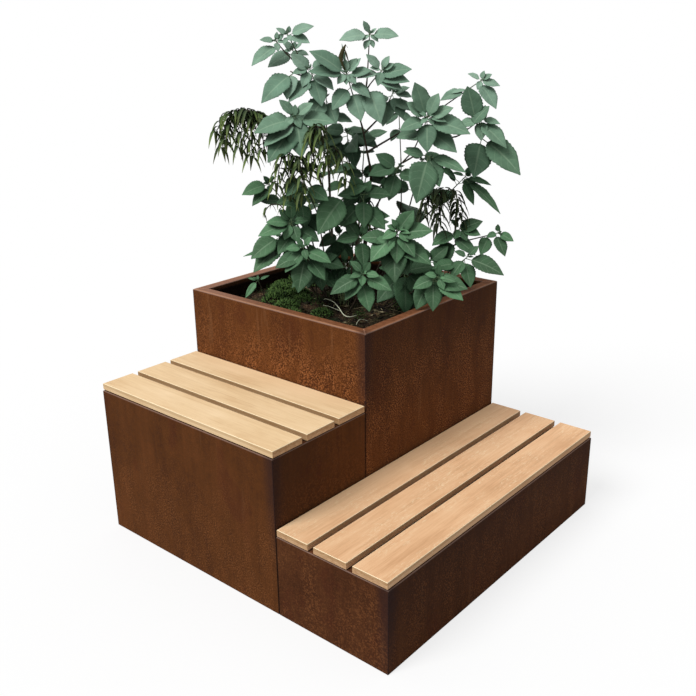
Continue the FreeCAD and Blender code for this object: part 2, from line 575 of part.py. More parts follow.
def low_bench_shell():
    hole = "( link_diameter + link_clearance )"
    places = [f"( {sign} link_side_spacing + {LOW_Y} )" for sign in ("0 -", "0 +")]
    places += [f"( {LOW_Y} - ( {HIGH_Y} ) {sign} link_side_spacing / 2 )" for sign in ("-", "+")]
    left = [(place_along, "link_height", hole) for place_along in places]
    ends = slat_screw_places()
    shell(
        "low_bench",
        BENCH_WIDTH,
        LOW_LENGTH,
        LOW_SHELL,
        "bench_flange",
        "bench_lip",
        LOW_X,
        LOW_Y,
        {"left": left},
        {"front": ends, "back": ends},
    )


def cross_rail(label):
    """A channel laid open side down between the turned-down edges of a bench shell."""
    body = new_body(label)
    profile = new_sketch(body, label + "_profile", "XZ_Plane")
    half, deep = "( rail_width / 2 )", "( 0 - bench_lip )"
    inner, minus_half = "( rail_width / 2 - sheet )", "( 0 - rail_width / 2 )"
    minus_inner = "( sheet - rail_width / 2 )"
    corners = [(minus_half, "0"), (half, "0"), (half, deep), (inner, deep)]
    corners += [(inner, "( 0 - sheet )"), (minus_inner, "( 0 - sheet )")]
    corners += [(minus_inner, deep), (minus_half, deep)]
    draw_outline(profile, corners)
    pad(body, profile, f"{BENCH_WIDTH} - 2 * bench_flange", midplane=True)
    holes = new_sketch(body, label + "_holes", "XY_Plane")
    for row in SLAT_ROWS:
        draw_circle(holes, "0", f"( {row} * {SLAT_PITCH} )", "( screw_diameter + screw_clearance )")
    cut(body, holes, "ScrewHoles")
    return body


def support_places(length, rails):
    """Formulas for the places along a bench where its slats are screwed down."""
    end = f"( {length} / 2 - bench_flange / 2 )"
    between = [f"( {rail} * {length} / 6 )" for rail in rails]
    return [f"( 0 - {end} )"] + between + [end]


def slat(label, length, supports):
    """A board along X with rounded top edges and blind screw holes in its underside."""
    body = new_body(label)
    section = new_sketch(body, label + "_section", "YZ_Plane")
    draw_box(section, "( 0 - slat_width / 2 )", "0", "( slat_width / 2 )", "slat_thickness")
    board = pad(body, section, length, midplane=True)
    top = value("slat_thickness")
    round_edges(body, board, "slat_arris", lambda middle: middle.z > top - CLOSE, "Arris")
    holes = new_sketch(body, label + "_holes", "XY_Plane")
    for along in supports:
        draw_circle(holes, along, "0", "screw_diameter")
    cut(body, holes, "ScrewHoles", "screw_depth")
    return body


def screw_shape(clamped):
    """A screw pointing up, with its head under Z 0 and its shank through what it clamps."""
    head_height = value("screw_head_height")
    reach = clamped + value("screw_depth")
    radius = value("screw_head_diameter") / 2
    head = Part.makeCylinder(radius, head_height, Vector(0, 0, -head_height))
    shank = Part.makeCylinder(value("screw_diameter") / 2, reach)
    return head.fuse(shank).removeSplitter()


def pad_shape():
    side, thickness = value("pad_side"), value("pad_thickness")
    square = Part.makeBox(side, side, thickness, Vector(-side / 2, -side / 2, 0))
    return square.cut(Part.makeCylinder(value("screw_diameter + screw_clearance") / 2, thickness))


def group(label, shapes):
    """Identical small pieces held together under one name."""
    feature = DOCUMENT.addObject("Part::Feature", label)
    feature.Label = label
    feature.Shape = Part.makeCompound(shapes)
    return feature


def foot_plates(label, across, deep):
    """A plate in each inside corner of a shell, with one anchor hole."""
    side, thickness = value("foot_side"), value("foot_thickness")
    half_x = value(f"{across} / 2 - sheet")
    half_y = value(f"{deep} / 2 - sheet")
    inset = value("anchor_inset")
    plates = []
    for sign_x in (-1, 1):
        for sign_y in (-1, 1):
            corner_x = min(sign_x * half_x, sign_x * (half_x - side))
            corner_y = min(sign_y * half_y, sign_y * (half_y - side))
            plate = Part.makeBox(side, side, thickness, Vector(corner_x, corner_y, 0))
            centre = Vector(sign_x * (half_x - inset), sign_y * (half_y - inset), 0)
            plates.append(plate.cut(Part.makeCylinder(value("anchor_hole") / 2, thickness, centre)))
    return group(label, plates)


def bench_top(prefix, length, shell_height, rails, centre_x, centre_y, turn):
    """Slats, pads, screws and rails of one bench, laid along X and then turned."""
    supports = support_places(length, rails)
    pitch = value(SLAT_PITCH)
    clamped = value("sheet + pad_thickness")
    pads, screws = [], []
    for row, name in zip(SLAT_ROWS, SLAT_NAMES):
        board = slat(f"{prefix}_slat_{name}", length, supports)
        if turn:
            place(board, f"( {centre_x} - {row} * {SLAT_PITCH} )", centre_y, "0", turn)
        else:
            place(board, centre_x, f"( {centre_y} + {row} * {SLAT_PITCH} )", "0", turn)
        board.setExpression(".Placement.Base.z", linked(f"( {shell_height} + pad_thickness )"))
        for along in supports:
            spot = Vector(value(along), row * pitch, 0)
            pads.append(pad_shape().translated(spot))
            screws.append(screw_shape(clamped).translated(spot - Vector(0, 0, value("sheet"))))
    place(group(f"{prefix}_pads", pads), centre_x, centre_y, shell_height, turn)
    place(group(f"{prefix}_screws", screws), centre_x, centre_y, shell_height, turn)
    for number, along in enumerate(supports[1:-1], start=1):
        rail = cross_rail(f"{prefix}_rail_{number}")
        if turn:
            place(rail, centre_x, f"( {centre_y} + {along} )", shell_height, turn)
        else:
            place(rail, f"( {centre_x} + {along} )", centre_y, shell_height, turn)


def high_bench():
    high_bench_shell()
    bench_top("high_bench", HIGH_LENGTH, HIGH_SHELL, HIGH_RAILS, "0", HIGH_Y, 0)
    place(foot_plates("high_bench_foot_plates", HIGH_LENGTH, BENCH_WIDTH), "0", HIGH_Y)


def low_bench():
    low_bench_shell()
    bench_top("low_bench", LOW_LENGTH, LOW_SHELL, LOW_RAILS, LOW_X, LOW_Y, 90)
    place(foot_plates("low_bench_foot_plates", BENCH_WIDTH, LOW_LENGTH), LOW_X, LOW_Y)


def planter_bearers():
    """Three channels under the planter, open side up, with the base on their legs."""
    half, inner = "( bearer_width / 2 )", "( bearer_width / 2 - sheet )"
    minus_half, minus_inner = "( 0 - bearer_width / 2 )", "( sheet - bearer_width / 2 )"
    for name, row in (("front", -1), ("middle", 0), ("back", 1)):
        body = new_body(f"planter_bearer_{name}")
        profile = new_sketch(body, f"bearer_{name}_profile", "YZ_Plane")
        corners = [(minus_half, "0"), (half, "0"), (half, "bearer_height")]
        corners += [(inner, "bearer_height"), (inner, "sheet"), (minus_inner, "sheet")]
        corners += [(minus_inner, "bearer_height"), (minus_half, "bearer_height")]
        draw_outline(profile, corners)
        pad(body, profile, "planter_length - 2 * sheet", midplane=True)
        place(body, "0", f"( {row} * {BEARER_SPACING} )")


def planter_base():
    """The plate that carries the soil, with drainage holes between the channels."""
    body = new_body("planter_base")
    plate = new_sketch(body, "base_outline", "XY_Plane")
    half_x, half_y = "( planter_length / 2 - sheet )", "( planter_depth / 2 - sheet )"
    draw_box(plate, f"( 0 - {half_x} )", f"( 0 - {half_y} )", half_x, half_y)
    pad(body, plate, "sheet")
    holes = new_sketch(body, "drainage_holes", "XY_Plane")
    for column in (-1, 0, 1):
        for row in (f"( 0 - {BEARER_SPACING} / 2 )", f"( {BEARER_SPACING} / 2 )"):
            draw_circle(holes, f"( {column} * drain_spacing )", row, "drain_hole")
    cut(body, holes, "DrainageHoles")
    place(body, "0", "0", "bearer_height")


def filled_layer(label, height_from, depth):
    """A layer of fill from wall to wall inside the planter."""
    layer = DOCUMENT.addObject("Part::Box", label)
    layer.Label = label
    layer.setExpression("Length", linked("planter_length - 2 * sheet"))
    layer.setExpression("Width", linked("planter_depth - 2 * sheet"))
    layer.setExpression("Height", linked(depth))
    place(layer, "( sheet - planter_length / 2 )", "( sheet - planter_depth / 2 )", height_from)
    return layer


def planter_fill():
    filled_layer("drainage_gravel", BASE_TOP, "gravel_depth")
    filled_layer("filter_fleece", f"( {BASE_TOP} + gravel_depth )", "fleece_thickness")
    block = filled_layer("soil_block", SOIL_FOOT, f"( planter_height - planter_lip - {SOIL_FOOT} )")
    mound = DOCUMENT.addObject("Part::Sphere", "soil_mound")
    mound.setExpression("Radius", linked("soil_radius"))
    place(mound, "0", "0", "( planter_height - soil_below_rim - soil_radius )")
    soil = DOCUMENT.addObject("Part::MultiCommon", "soil")
    soil.Label = "soil"
    soil.Shapes = [block, mound]


def soil_height(x, y):
    """The height of the mounded soil at a place."""
    radius = value("soil_radius")
    crown = value("planter_height - soil_below_rim")
    return crown - radius + math.sqrt(radius**2 - x**2 - y**2)


def route_of(points):
    """The points of a stem in the frame: None as a height means the soil's surface."""
    rim = value("planter_height")
    route = []
    for x, y, height in points:
        route.append(Vector(x, y, soil_height(x, y) if height is None else rim + height))
    return route


def route_length(route):
    return sum((after - before).Length for before, after in zip(route, route[1:]))


def spot_on(route, distance):
    """The point at a distance from the route's start, and the direction there."""
    runs = [after - before for before, after in zip(route, route[1:])]
    number = 0
    while number < len(runs) - 1 and distance > runs[number].Length:
        distance -= runs[number].Length
        number += 1
    run = runs[number]
    heading = run / run.Length
    return route[number] + heading * min(distance, run.Length), heading


def thickness_at(route, foot, distance):
    return foot + (TWIG_END - foot) * distance / route_length(route)


def closed_mesh(points, triangles):
    """A solid with flat triangular faces."""
    shape = Part.Shape()
    shape.makeShapeFromMesh((points, triangles), SEAM)
    solid = Part.makeSolid(shape)
    if solid.Volume < 0:
        solid.reverse()
    return solid


def ring(centre, heading, radius):
    """The corners of a stem's section, square to its heading."""
    first = heading.cross(LEVEL_START).normalize()
    second = heading.cross(first)
    turns = [2 * math.pi * corner / STEM_CORNERS for corner in range(STEM_CORNERS)]
    return [centre + (first * math.cos(t) + second * math.sin(t)) * radius for t in turns]


def stem_solid(route, foot):
    """A tapering stem through the points of its route."""
    points, walked = [], 0.0
    last = len(route) - 1
    for number, centre in enumerate(route):
        before, after = route[max(number - 1, 0)], route[min(number + 1, last)]
        heading = (after - before).normalize()
        if number == 0 and abs(centre.z - soil_height(centre.x, centre.y)) < 1:
            depth = centre.z - soil_height(0, 0) + value("soil_radius")
            heading = Vector(centre.x, centre.y, depth).normalize()
        walked += (centre - before).Length
        points += ring(centre, heading, thickness_at(route, foot, walked) / 2)
    triangles = []
    for section in range(last):
        for corner in range(STEM_CORNERS):
            low = section * STEM_CORNERS + corner
            side = section * STEM_CORNERS + (corner + 1) % STEM_CORNERS
            high, high_side = low + STEM_CORNERS, side + STEM_CORNERS
            triangles += [(low, side, high_side), (low, high_side, high)]
    top = last * STEM_CORNERS
    for corner in range(1, STEM_CORNERS - 1):
        triangles.append((0, corner + 1, corner))
        triangles.append((top, top + corner, top + corner + 1))
    return closed_mesh(points, triangles)


def leaf_solid(start, heading, facing, length, width, droop, stations=LEAF_STATIONS):
    """A pointed leaf on a short stalk: it hangs over, and its two halves fold up a little."""
    down = Vector(0, 0, -1)
    side = heading.cross(facing).normalize()
    points = [start]
    for share, half in stations:
        middle = start + heading * (length * share) + down * (droop * length * share**2)
        slope = (heading + down * (2 * droop * share)).normalize()
        normal = side.cross(slope).normalize()
        reach = half * width
        edge = middle + normal * (reach * LEAF_FOLD)
        points += [edge - side * reach, middle, edge + side * reach, middle - normal * LEAF_RIB]
    tip = len(points)
    points.append(start + heading * length + down * (droop * length))
    triangles = []
    last = 4 * (len(stations) - 1)
    for number in range(4):
        here, after = 1 + number, 1 + (number + 1) % 4
        triangles.append((0, here, after))
        for low in range(0, last, 4):
            triangles.append((here + low, here + low + 4, after + low + 4))
            triangles.append((here + low, after + low + 4, after + low))
        triangles.append((here + last, tip, after + last))
    return closed_mesh(points, triangles)


def outward(point):
    """Level and away from the planter's middle, for a leaf to look at."""
    level = Vector(point.x - SHRUB_MIDDLE[0], point.y - SHRUB_MIDDLE[1], 0)
    return level.normalize() if level.Length > 1 else Vector(0, -1, 0)


def paired_leaves(route, foot, length, pairs, spacing, last_turn):
    """Opposite pairs from the tip back along a stem, each pair a quarter turn from the next."""
    leaves = []
    for pair in range(pairs):
        distance = route_length(route) - pair * spacing
        point, heading = spot_on(route, distance)
        age = (pair + 1) / pairs
        first = heading.cross(Vector(0, 0, 1)).normalize()
        second = heading.cross(first)
        rise = math.radians(YOUNG_RISE * (1 - age))
        for turn in (last_turn + 90 * pair, last_turn + 90 * pair + 180):
            angle = math.radians(turn)
            spread = first * math.cos(angle) + second * math.sin(angle)
            start = point + spread * (thickness_at(route, foot, distance) / 2)
            out = spread * math.cos(rise) + heading * math.sin(rise)
            out = Vector(out.x, out.y, out.z * LEVELLED).normalize()
            facing = Vector(*LIGHT_SIDE) + outward(start) * LOOK_OUT
            grown = length * (YOUNG_SIZE + (1 - YOUNG_SIZE) * age)
            droop = YOUNG_DROOP + (OLD_DROOP - YOUNG_DROOP) * age
            leaves.append(leaf_solid(start, out, facing, grown, grown * LEAF_WIDTH, droop))
    return leaves


def rosette(route, foot, leaves):
    """Leaves that point to their hours on a clock face seen from the front right corner."""
    solids = []
    for number, (back, hour, length, *width) in enumerate(leaves):
        distance = route_length(route) - back
        point, heading = spot_on(route, distance)
        angle = math.radians(HOUR * hour)
        upright, aside = math.cos(angle), math.sin(angle)
        way = ACROSS * aside + UPRIGHT * upright + TOWARD * (LEAN - LEAN_SWING * upright)
        way = way.normalize()
        spread = (way - heading * way.dot(heading)).normalize()
        start = point + spread * (thickness_at(route, foot, distance) / 2)
        droop = ROSETTE_DROOP * (1 + length / FULL_LENGTH)
        aside = LOOK_ASIDE if number % 2 == 0 else -LOOK_ASIDE
        facing = UPRIGHT * LOOK_UP + TOWARD * LOOK_FRONT + ACROSS * aside
        wide = length * (width[0] if width else ROSETTE_WIDTH)
        solids.append(leaf_solid(start, way + UPRIGHT * droop, facing, length, wide, droop))
    return solids


def tassel_leaves(route, foot, length, count):
    """Narrow leaves all round a drooping twig, arching out and hanging down."""
    leaves = []
    for number in range(count):
        distance = route_length(route) * (1 - TASSEL_SHARE * number / count)
        point, heading = spot_on(route, distance)
        angle = math.radians(TASSEL_TURN * number)
        out = Vector(math.cos(angle), math.sin(angle), TASSEL_RISE).normalize()
        across = out - heading * out.dot(heading)
        start = point + across.normalize() * (thickness_at(route, foot, distance) * TASSEL_SEAT)
        grown = length * (1 - TASSEL_UNEVEN + TASSEL_UNEVEN * math.sin(3 * angle))
        reach, wide = out * TASSEL_REACH, grown * TASSEL_WIDTH
        leaf = leaf_solid(start, reach, UPRIGHT, grown, wide, TASSEL_DROOP, NARROW_STATIONS)
        leaves.append(leaf)
    return leaves


def shrub():
    """Stems and branches, their leaves by group, and the tassels."""
    routes, stems, branches = {}, [], []
    groups, tufts = {}, {}

    def grow(name, route, foot, group_name):
        routes[name] = (route, foot)
        leaves = paired_leaves(route, foot, *PAIRS[name]) if name in PAIRS else []
        leaves += rosette(route, foot, ROSETTES.get(name, ()))
        groups.setdefault(group_name, []).extend(leaves)

    def branch_from(parent, share, points):
        route, foot = routes[parent]
        distance = route_length(route) * share
        point, heading = spot_on(route, distance)
        away = route_of(points)[0] - point
        away = away - heading * away.dot(heading)
        reach = thickness_at(route, foot, distance) / 2
        return [point + away.normalize() * reach] + route_of(points)

    for name, (foot, group_name, points) in STEMS.items():
        route = route_of(points)
        stems.append(stem_solid(route, foot))
        grow(name, route, foot, group_name)
    for name, (parent, share, group_name, points) in BRANCHES.items():
        route = branch_from(parent, share, points)
        branches.append(stem_solid(route, BRANCH_FOOT))
        grow(name, route, BRANCH_FOOT, group_name)
    for tuft, parent, share, length, count, points in TASSELS.values():
        route = branch_from(parent, share, points)
        branches.append(stem_solid(route, TWIG_FOOT))
        tufts.setdefault(tuft, []).extend(tassel_leaves(route, TWIG_FOOT, length, count))
    for tuft, leaves in tufts.items():
        group(f"tassel_{tuft}", leaves)
    group("shrub_stems", stems)
    group("shrub_branches", branches)
    for group_name, leaves in groups.items():
        group(f"leaves_{group_name}", leaves)


def moss():
    """Low cushions that rest on the mounded soil."""
    radius = value("soil_radius")
    crown = value("planter_height - soil_below_rim")
    soil = Part.makeSphere(radius, Vector(0, 0, crown - radius))
    cushions = []
    for x, y, size in MOSS:
        centre = Vector(x, y, soil_height(x, y) - MOSS_SUNK * size)
        cushions.append(Part.makeSphere(size, centre).cut(soil))
    group("moss", cushions)


def hexagon(height, radius):
    turns = [math.radians(60 * step) for step in range(7)]
    corners = [Vector(radius * math.cos(turn), radius * math.sin(turn), 0) for turn in turns]
    return Part.Face(Part.makePolygon(corners)).extrude(Vector(0, 0, height))


def link_shapes():
    """A bolt, nut and spacer along Z, with Z 0 at the face that the head bears on."""
    radius = value("link_diameter") / 2
    corner = value("link_across_corners") / 2
    sheet, gap = value("sheet"), value("module_gap")
    grip = 2 * sheet + gap
    nut_height = value("link_nut_height")
    head_height = value("link_head_height")
    head = hexagon(head_height, corner).translated(Vector(0, 0, -head_height))
    shank = Part.makeCylinder(radius, grip + nut_height + value("link_tail"))
    bolt = head.fuse(shank).removeSplitter()
    nut = hexagon(nut_height, corner).cut(Part.makeCylinder(radius, nut_height))
    nut = nut.translated(Vector(0, 0, grip))
    spacer = Part.makeCylinder(value("link_spacer_diameter") / 2, gap)
    spacer = spacer.cut(Part.makeCylinder(value("link_diameter + link_clearance") / 2, gap))
    return bolt, nut, spacer.translated(Vector(0, 0, sheet))


def links():
    """Bolts, nuts and spacers low down between each two modules."""
    height = value("link_height")
    sheet, gap = value("sheet"), value("module_gap")
    back_y = value("0 - planter_depth / 2") - gap - sheet
    side_x = value("planter_length / 2") - sheet
    along_y = Rotation(Vector(1, 0, 0), -90)
    along_x = Rotation(Vector(0, 1, 0), 90)
    places = []
    for sign in (-1, 1):
        high_y = value(HIGH_Y) + sign * value("link_side_spacing") / 2
        side_y = sign * value("link_side_spacing")
        places.append(Placement(Vector(sign * value("link_spacing"), back_y, height), along_y))
        places.append(Placement(Vector(side_x, side_y, height), along_x))
        places.append(Placement(Vector(side_x, high_y, height), along_x))
    for label, shape in zip(("link_bolts", "link_nuts", "link_spacers"), link_shapes()):
        group(label, [shape.transformed(spot.toMatrix()) for spot in places])


def write_parts(pieces):
    """Checks every object and sub-part, then writes one file for each sub-part."""
    DOCUMENT.recompute()
    for thing in DOCUMENT.Objects:
        if "Invalid" in thing.State or "Error" in thing.State:
            raise ValueError(f"{thing.Label} is not up to date: {thing.State}")
    for piece in pieces:
        if piece.Shape.isNull() or not piece.Shape.isValid() or piece.Shape.Volume <= 0:
            raise ValueError(f"{piece.Label} has no valid shape")
    os.makedirs("parts", exist_ok=True)
    for piece in pieces:
        piece.Shape.exportStep(f"parts/{piece.Label}.step")
        print(piece.Label, len(piece.Shape.Solids), round(piece.Shape.Volume / 1000, 1), "cm3")


def main():
    write_sizes()
    planter_shell()
    planter_bearers()
    planter_base()
    planter_fill()
    high_bench()
    low_bench()
    links()
    shrub()
    moss()
    helpers = ("soil_block", "soil_mound")
    kinds = ("PartDesign::Body", "Part::Feature", "Part::Box", "Part::MultiCommon")
    found = [thing for thing in DOCUMENT.Objects if thing.TypeId in kinds]
    write_parts([thing for thing in found if thing.Label not in helpers])


main()
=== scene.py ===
import math
import random

import bpy
from mathutils import Matrix, Vector, noise


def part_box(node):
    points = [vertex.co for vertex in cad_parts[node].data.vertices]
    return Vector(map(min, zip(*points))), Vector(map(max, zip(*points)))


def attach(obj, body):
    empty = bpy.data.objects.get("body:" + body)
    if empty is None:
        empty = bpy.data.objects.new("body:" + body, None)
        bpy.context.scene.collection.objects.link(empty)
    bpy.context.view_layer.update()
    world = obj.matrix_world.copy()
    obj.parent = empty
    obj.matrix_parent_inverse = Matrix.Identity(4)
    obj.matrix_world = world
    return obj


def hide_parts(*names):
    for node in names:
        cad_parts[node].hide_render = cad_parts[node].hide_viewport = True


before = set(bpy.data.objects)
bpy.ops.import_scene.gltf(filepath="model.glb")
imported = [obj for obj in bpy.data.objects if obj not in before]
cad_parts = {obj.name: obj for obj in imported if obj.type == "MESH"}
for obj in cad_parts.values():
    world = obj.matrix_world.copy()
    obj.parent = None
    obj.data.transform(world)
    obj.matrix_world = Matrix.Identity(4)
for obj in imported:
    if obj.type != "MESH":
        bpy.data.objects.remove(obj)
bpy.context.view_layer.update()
random.seed(7)

MM = 0.001

# The camera at the photograph's viewing angle, in metres: where it stands, and its own right,
# up and backward directions. Its lens and sensor are in millimetres.
CAMERA_PLACE = (1.9851, -2.3081, 1.6396)
CAMERA_RIGHT = (0.7616, 0.6479, -0.0118)
CAMERA_UP = (-0.2133, 0.2677, 0.9396)
CAMERA_BACK = (0.6119, -0.7131, 0.3421)
CAMERA_LENS = 45.115
CAMERA_SENSOR = 36
CAMERA_SIGHT = 60

# Light levels: 1 means that a surface looks as light as its colour is written.
WHITE = (1, 1, 1, 1)
SKY_LEVEL = 0.46
SUN_LEVEL = 0.75
SUN_FROM = (-0.14, -0.64, 0.72)
SUN_SOFTNESS = 28
FLOOR_BOUNCE = "#aaaaaa"
FLOOR_SIDE = 16.0
FLOOR_DROP = 0.0005
FLOOR_FADE = (1.6, 4.5)
SHADOW_SHARE = 0.26

# Sizes of the planter that its rim's looks, the soil, the moss and the shrub start from, in
# millimetres.
PLANTER_HEIGHT = 775
PLANTER_LENGTH = 800
PLANTER_DEPTH = 760
SHEET = 3
SOIL_BELOW_RIM = 42
SOIL_RADIUS = 2600
SOIL_FOOT = 143

# Each shell's steel: its rust from dark to light, how dense its grains are, the height where they
# start and the one where they are densest, how strong its rim's wear and painted sheen and
# highlight are, and the axis of its painted shade with the places where that starts and is full,
# in metres.
STEELS = {
    "planter": (("#47240c", "#5c3313", "#673b18"), 0.88, (0.76, 0.55), 0.85, ("Z", 0.35, 0.7)),
    "high_bench": (("#41210a", "#552f10", "#623717"), 0.38, (0.4, 0.2), 0.2, ("Y", -0.45, -0.78)),
    "low_bench": (("#391c07", "#4b2811", "#5a351a"), 0.3, (0.3, 0.2), 0.2, ("Z", 0.0, 0.3)),
}
# The nodes that each shell's steel is for.
SHELL_PANELS = ("front_panel", "right_panel", "back_panel", "left_panel")
SHELL_FRAMES = {
    "planter": ("base", "bearer_front", "bearer_middle", "bearer_back"),
    "high_bench": ("rail_1", "foot_plates"),
    "low_bench": ("rail_1", "rail_2", "foot_plates"),
}
# How far the dark band at a shell's corner reaches along X, Y and Z, and how wide the painted
# highlight along the outer edge of the planter's rim is, in metres.
CORNER_DARK_RADII = (0.055, 0.055, 0.42)
RIM_EDGE = 0.009

# Each bench's wood: whether its grain runs along X, the seed of its first slat, its tones from
# dark to light, and how strong its flecks and the painted shade in its gaps are.
WOODS = {
    "high": (True, 1, ("#e2bd8e", "#f2d1a3", "#fbdcb1"), 0.15, 0.6),
    "low": (False, 5, ("#d8a77b", "#ecbc8f", "#f6cb9f"), 0.5, 0.08),
}

# Small parts of rubber and of zinc-plated steel.
RUBBER_PARTS = ("high_bench_pads", "low_bench_pads")
ZINC_PARTS = ("high_bench_screws", "low_bench_screws", "link_bolts", "link_nuts", "link_spacers")

# The painted shade inside the shrub, in metres: how near the leaves that shade a leaf or a narrow
# leaf are, the middle and the radii of the shaded core, and the X where the right tassel's painted
# shade starts and the one where it is full.
CROWDED = 0.26
NARROW_CROWDED = 0.06
SHRUB_CORE = (-0.02, 0.08, 1.06)
SHRUB_RADII = (0.36, 0.33, 0.42)
NARROW_SHADE = (0.12, 0.24)


def colour(code):
    """A colour written as #rrggbb, as the linear numbers that a socket takes."""
    channels = [int(code[place:place + 2], 16) / 255 for place in (1, 3, 5)]
    linear = [c / 12.92 if c <= 0.04045 else ((c + 0.055) / 1.055) ** 2.4 for c in channels]
    return (*linear, 1.0)


class Nodes:
    """Short ways to add nodes to the tree of a material or of the world."""

    def __init__(self, tree):
        self.tree = tree

    def add(self, kind, inputs=None, **settings):
        node = self.tree.nodes.new(kind)
        for key, setting in settings.items():
            setattr(node, key, setting)
        for socket, source in (inputs or {}).items():
            if isinstance(source, bpy.types.NodeSocket):
                self.tree.links.new(source, node.inputs[socket])
            else:
                node.inputs[socket].default_value = source
        return node

    def calc(self, kind, first, second=0.0, third=0.0):
        inputs = {0: first, 1: second, 2: third}
        return self.add("ShaderNodeMath", inputs, operation=kind).outputs["Value"]

    def times(self, first, *others):
        for other in others:
            first = self.calc("MULTIPLY", first, other)
        return first

    def scaled(self, value, factor, start):
        """The value times a factor, from a start on."""
        return self.calc("MULTIPLY_ADD", value, factor, start)

    def blend(self, *parts):
        """The sum of several parts, each a value and its weight."""
        total = 0.0
        for value, weight in parts:
            total = self.scaled(value, weight, total)
        return total

    def less(self, value):
        """What is missing from the value to 1."""
        return self.calc("SUBTRACT", 1.0, value)

    def part(self, vector, axis):
        return self.add("ShaderNodeSeparateXYZ", {"Vector": vector}).outputs[axis]

    def reach(self, vector):
        """The vector's length."""
        return self.add("ShaderNodeVectorMath", {0: vector}, operation="LENGTH").outputs["Value"]

    def rise(self, share, low, high, kind="SMOOTHSTEP"):
        """0 up to low, 1 from high on, and a smooth rise between them."""
        inputs = {"Value": share, "From Min": low, "From Max": high}
        node = self.add("ShaderNodeMapRange", inputs, interpolation_type=kind)
        return node.outputs["Result"]


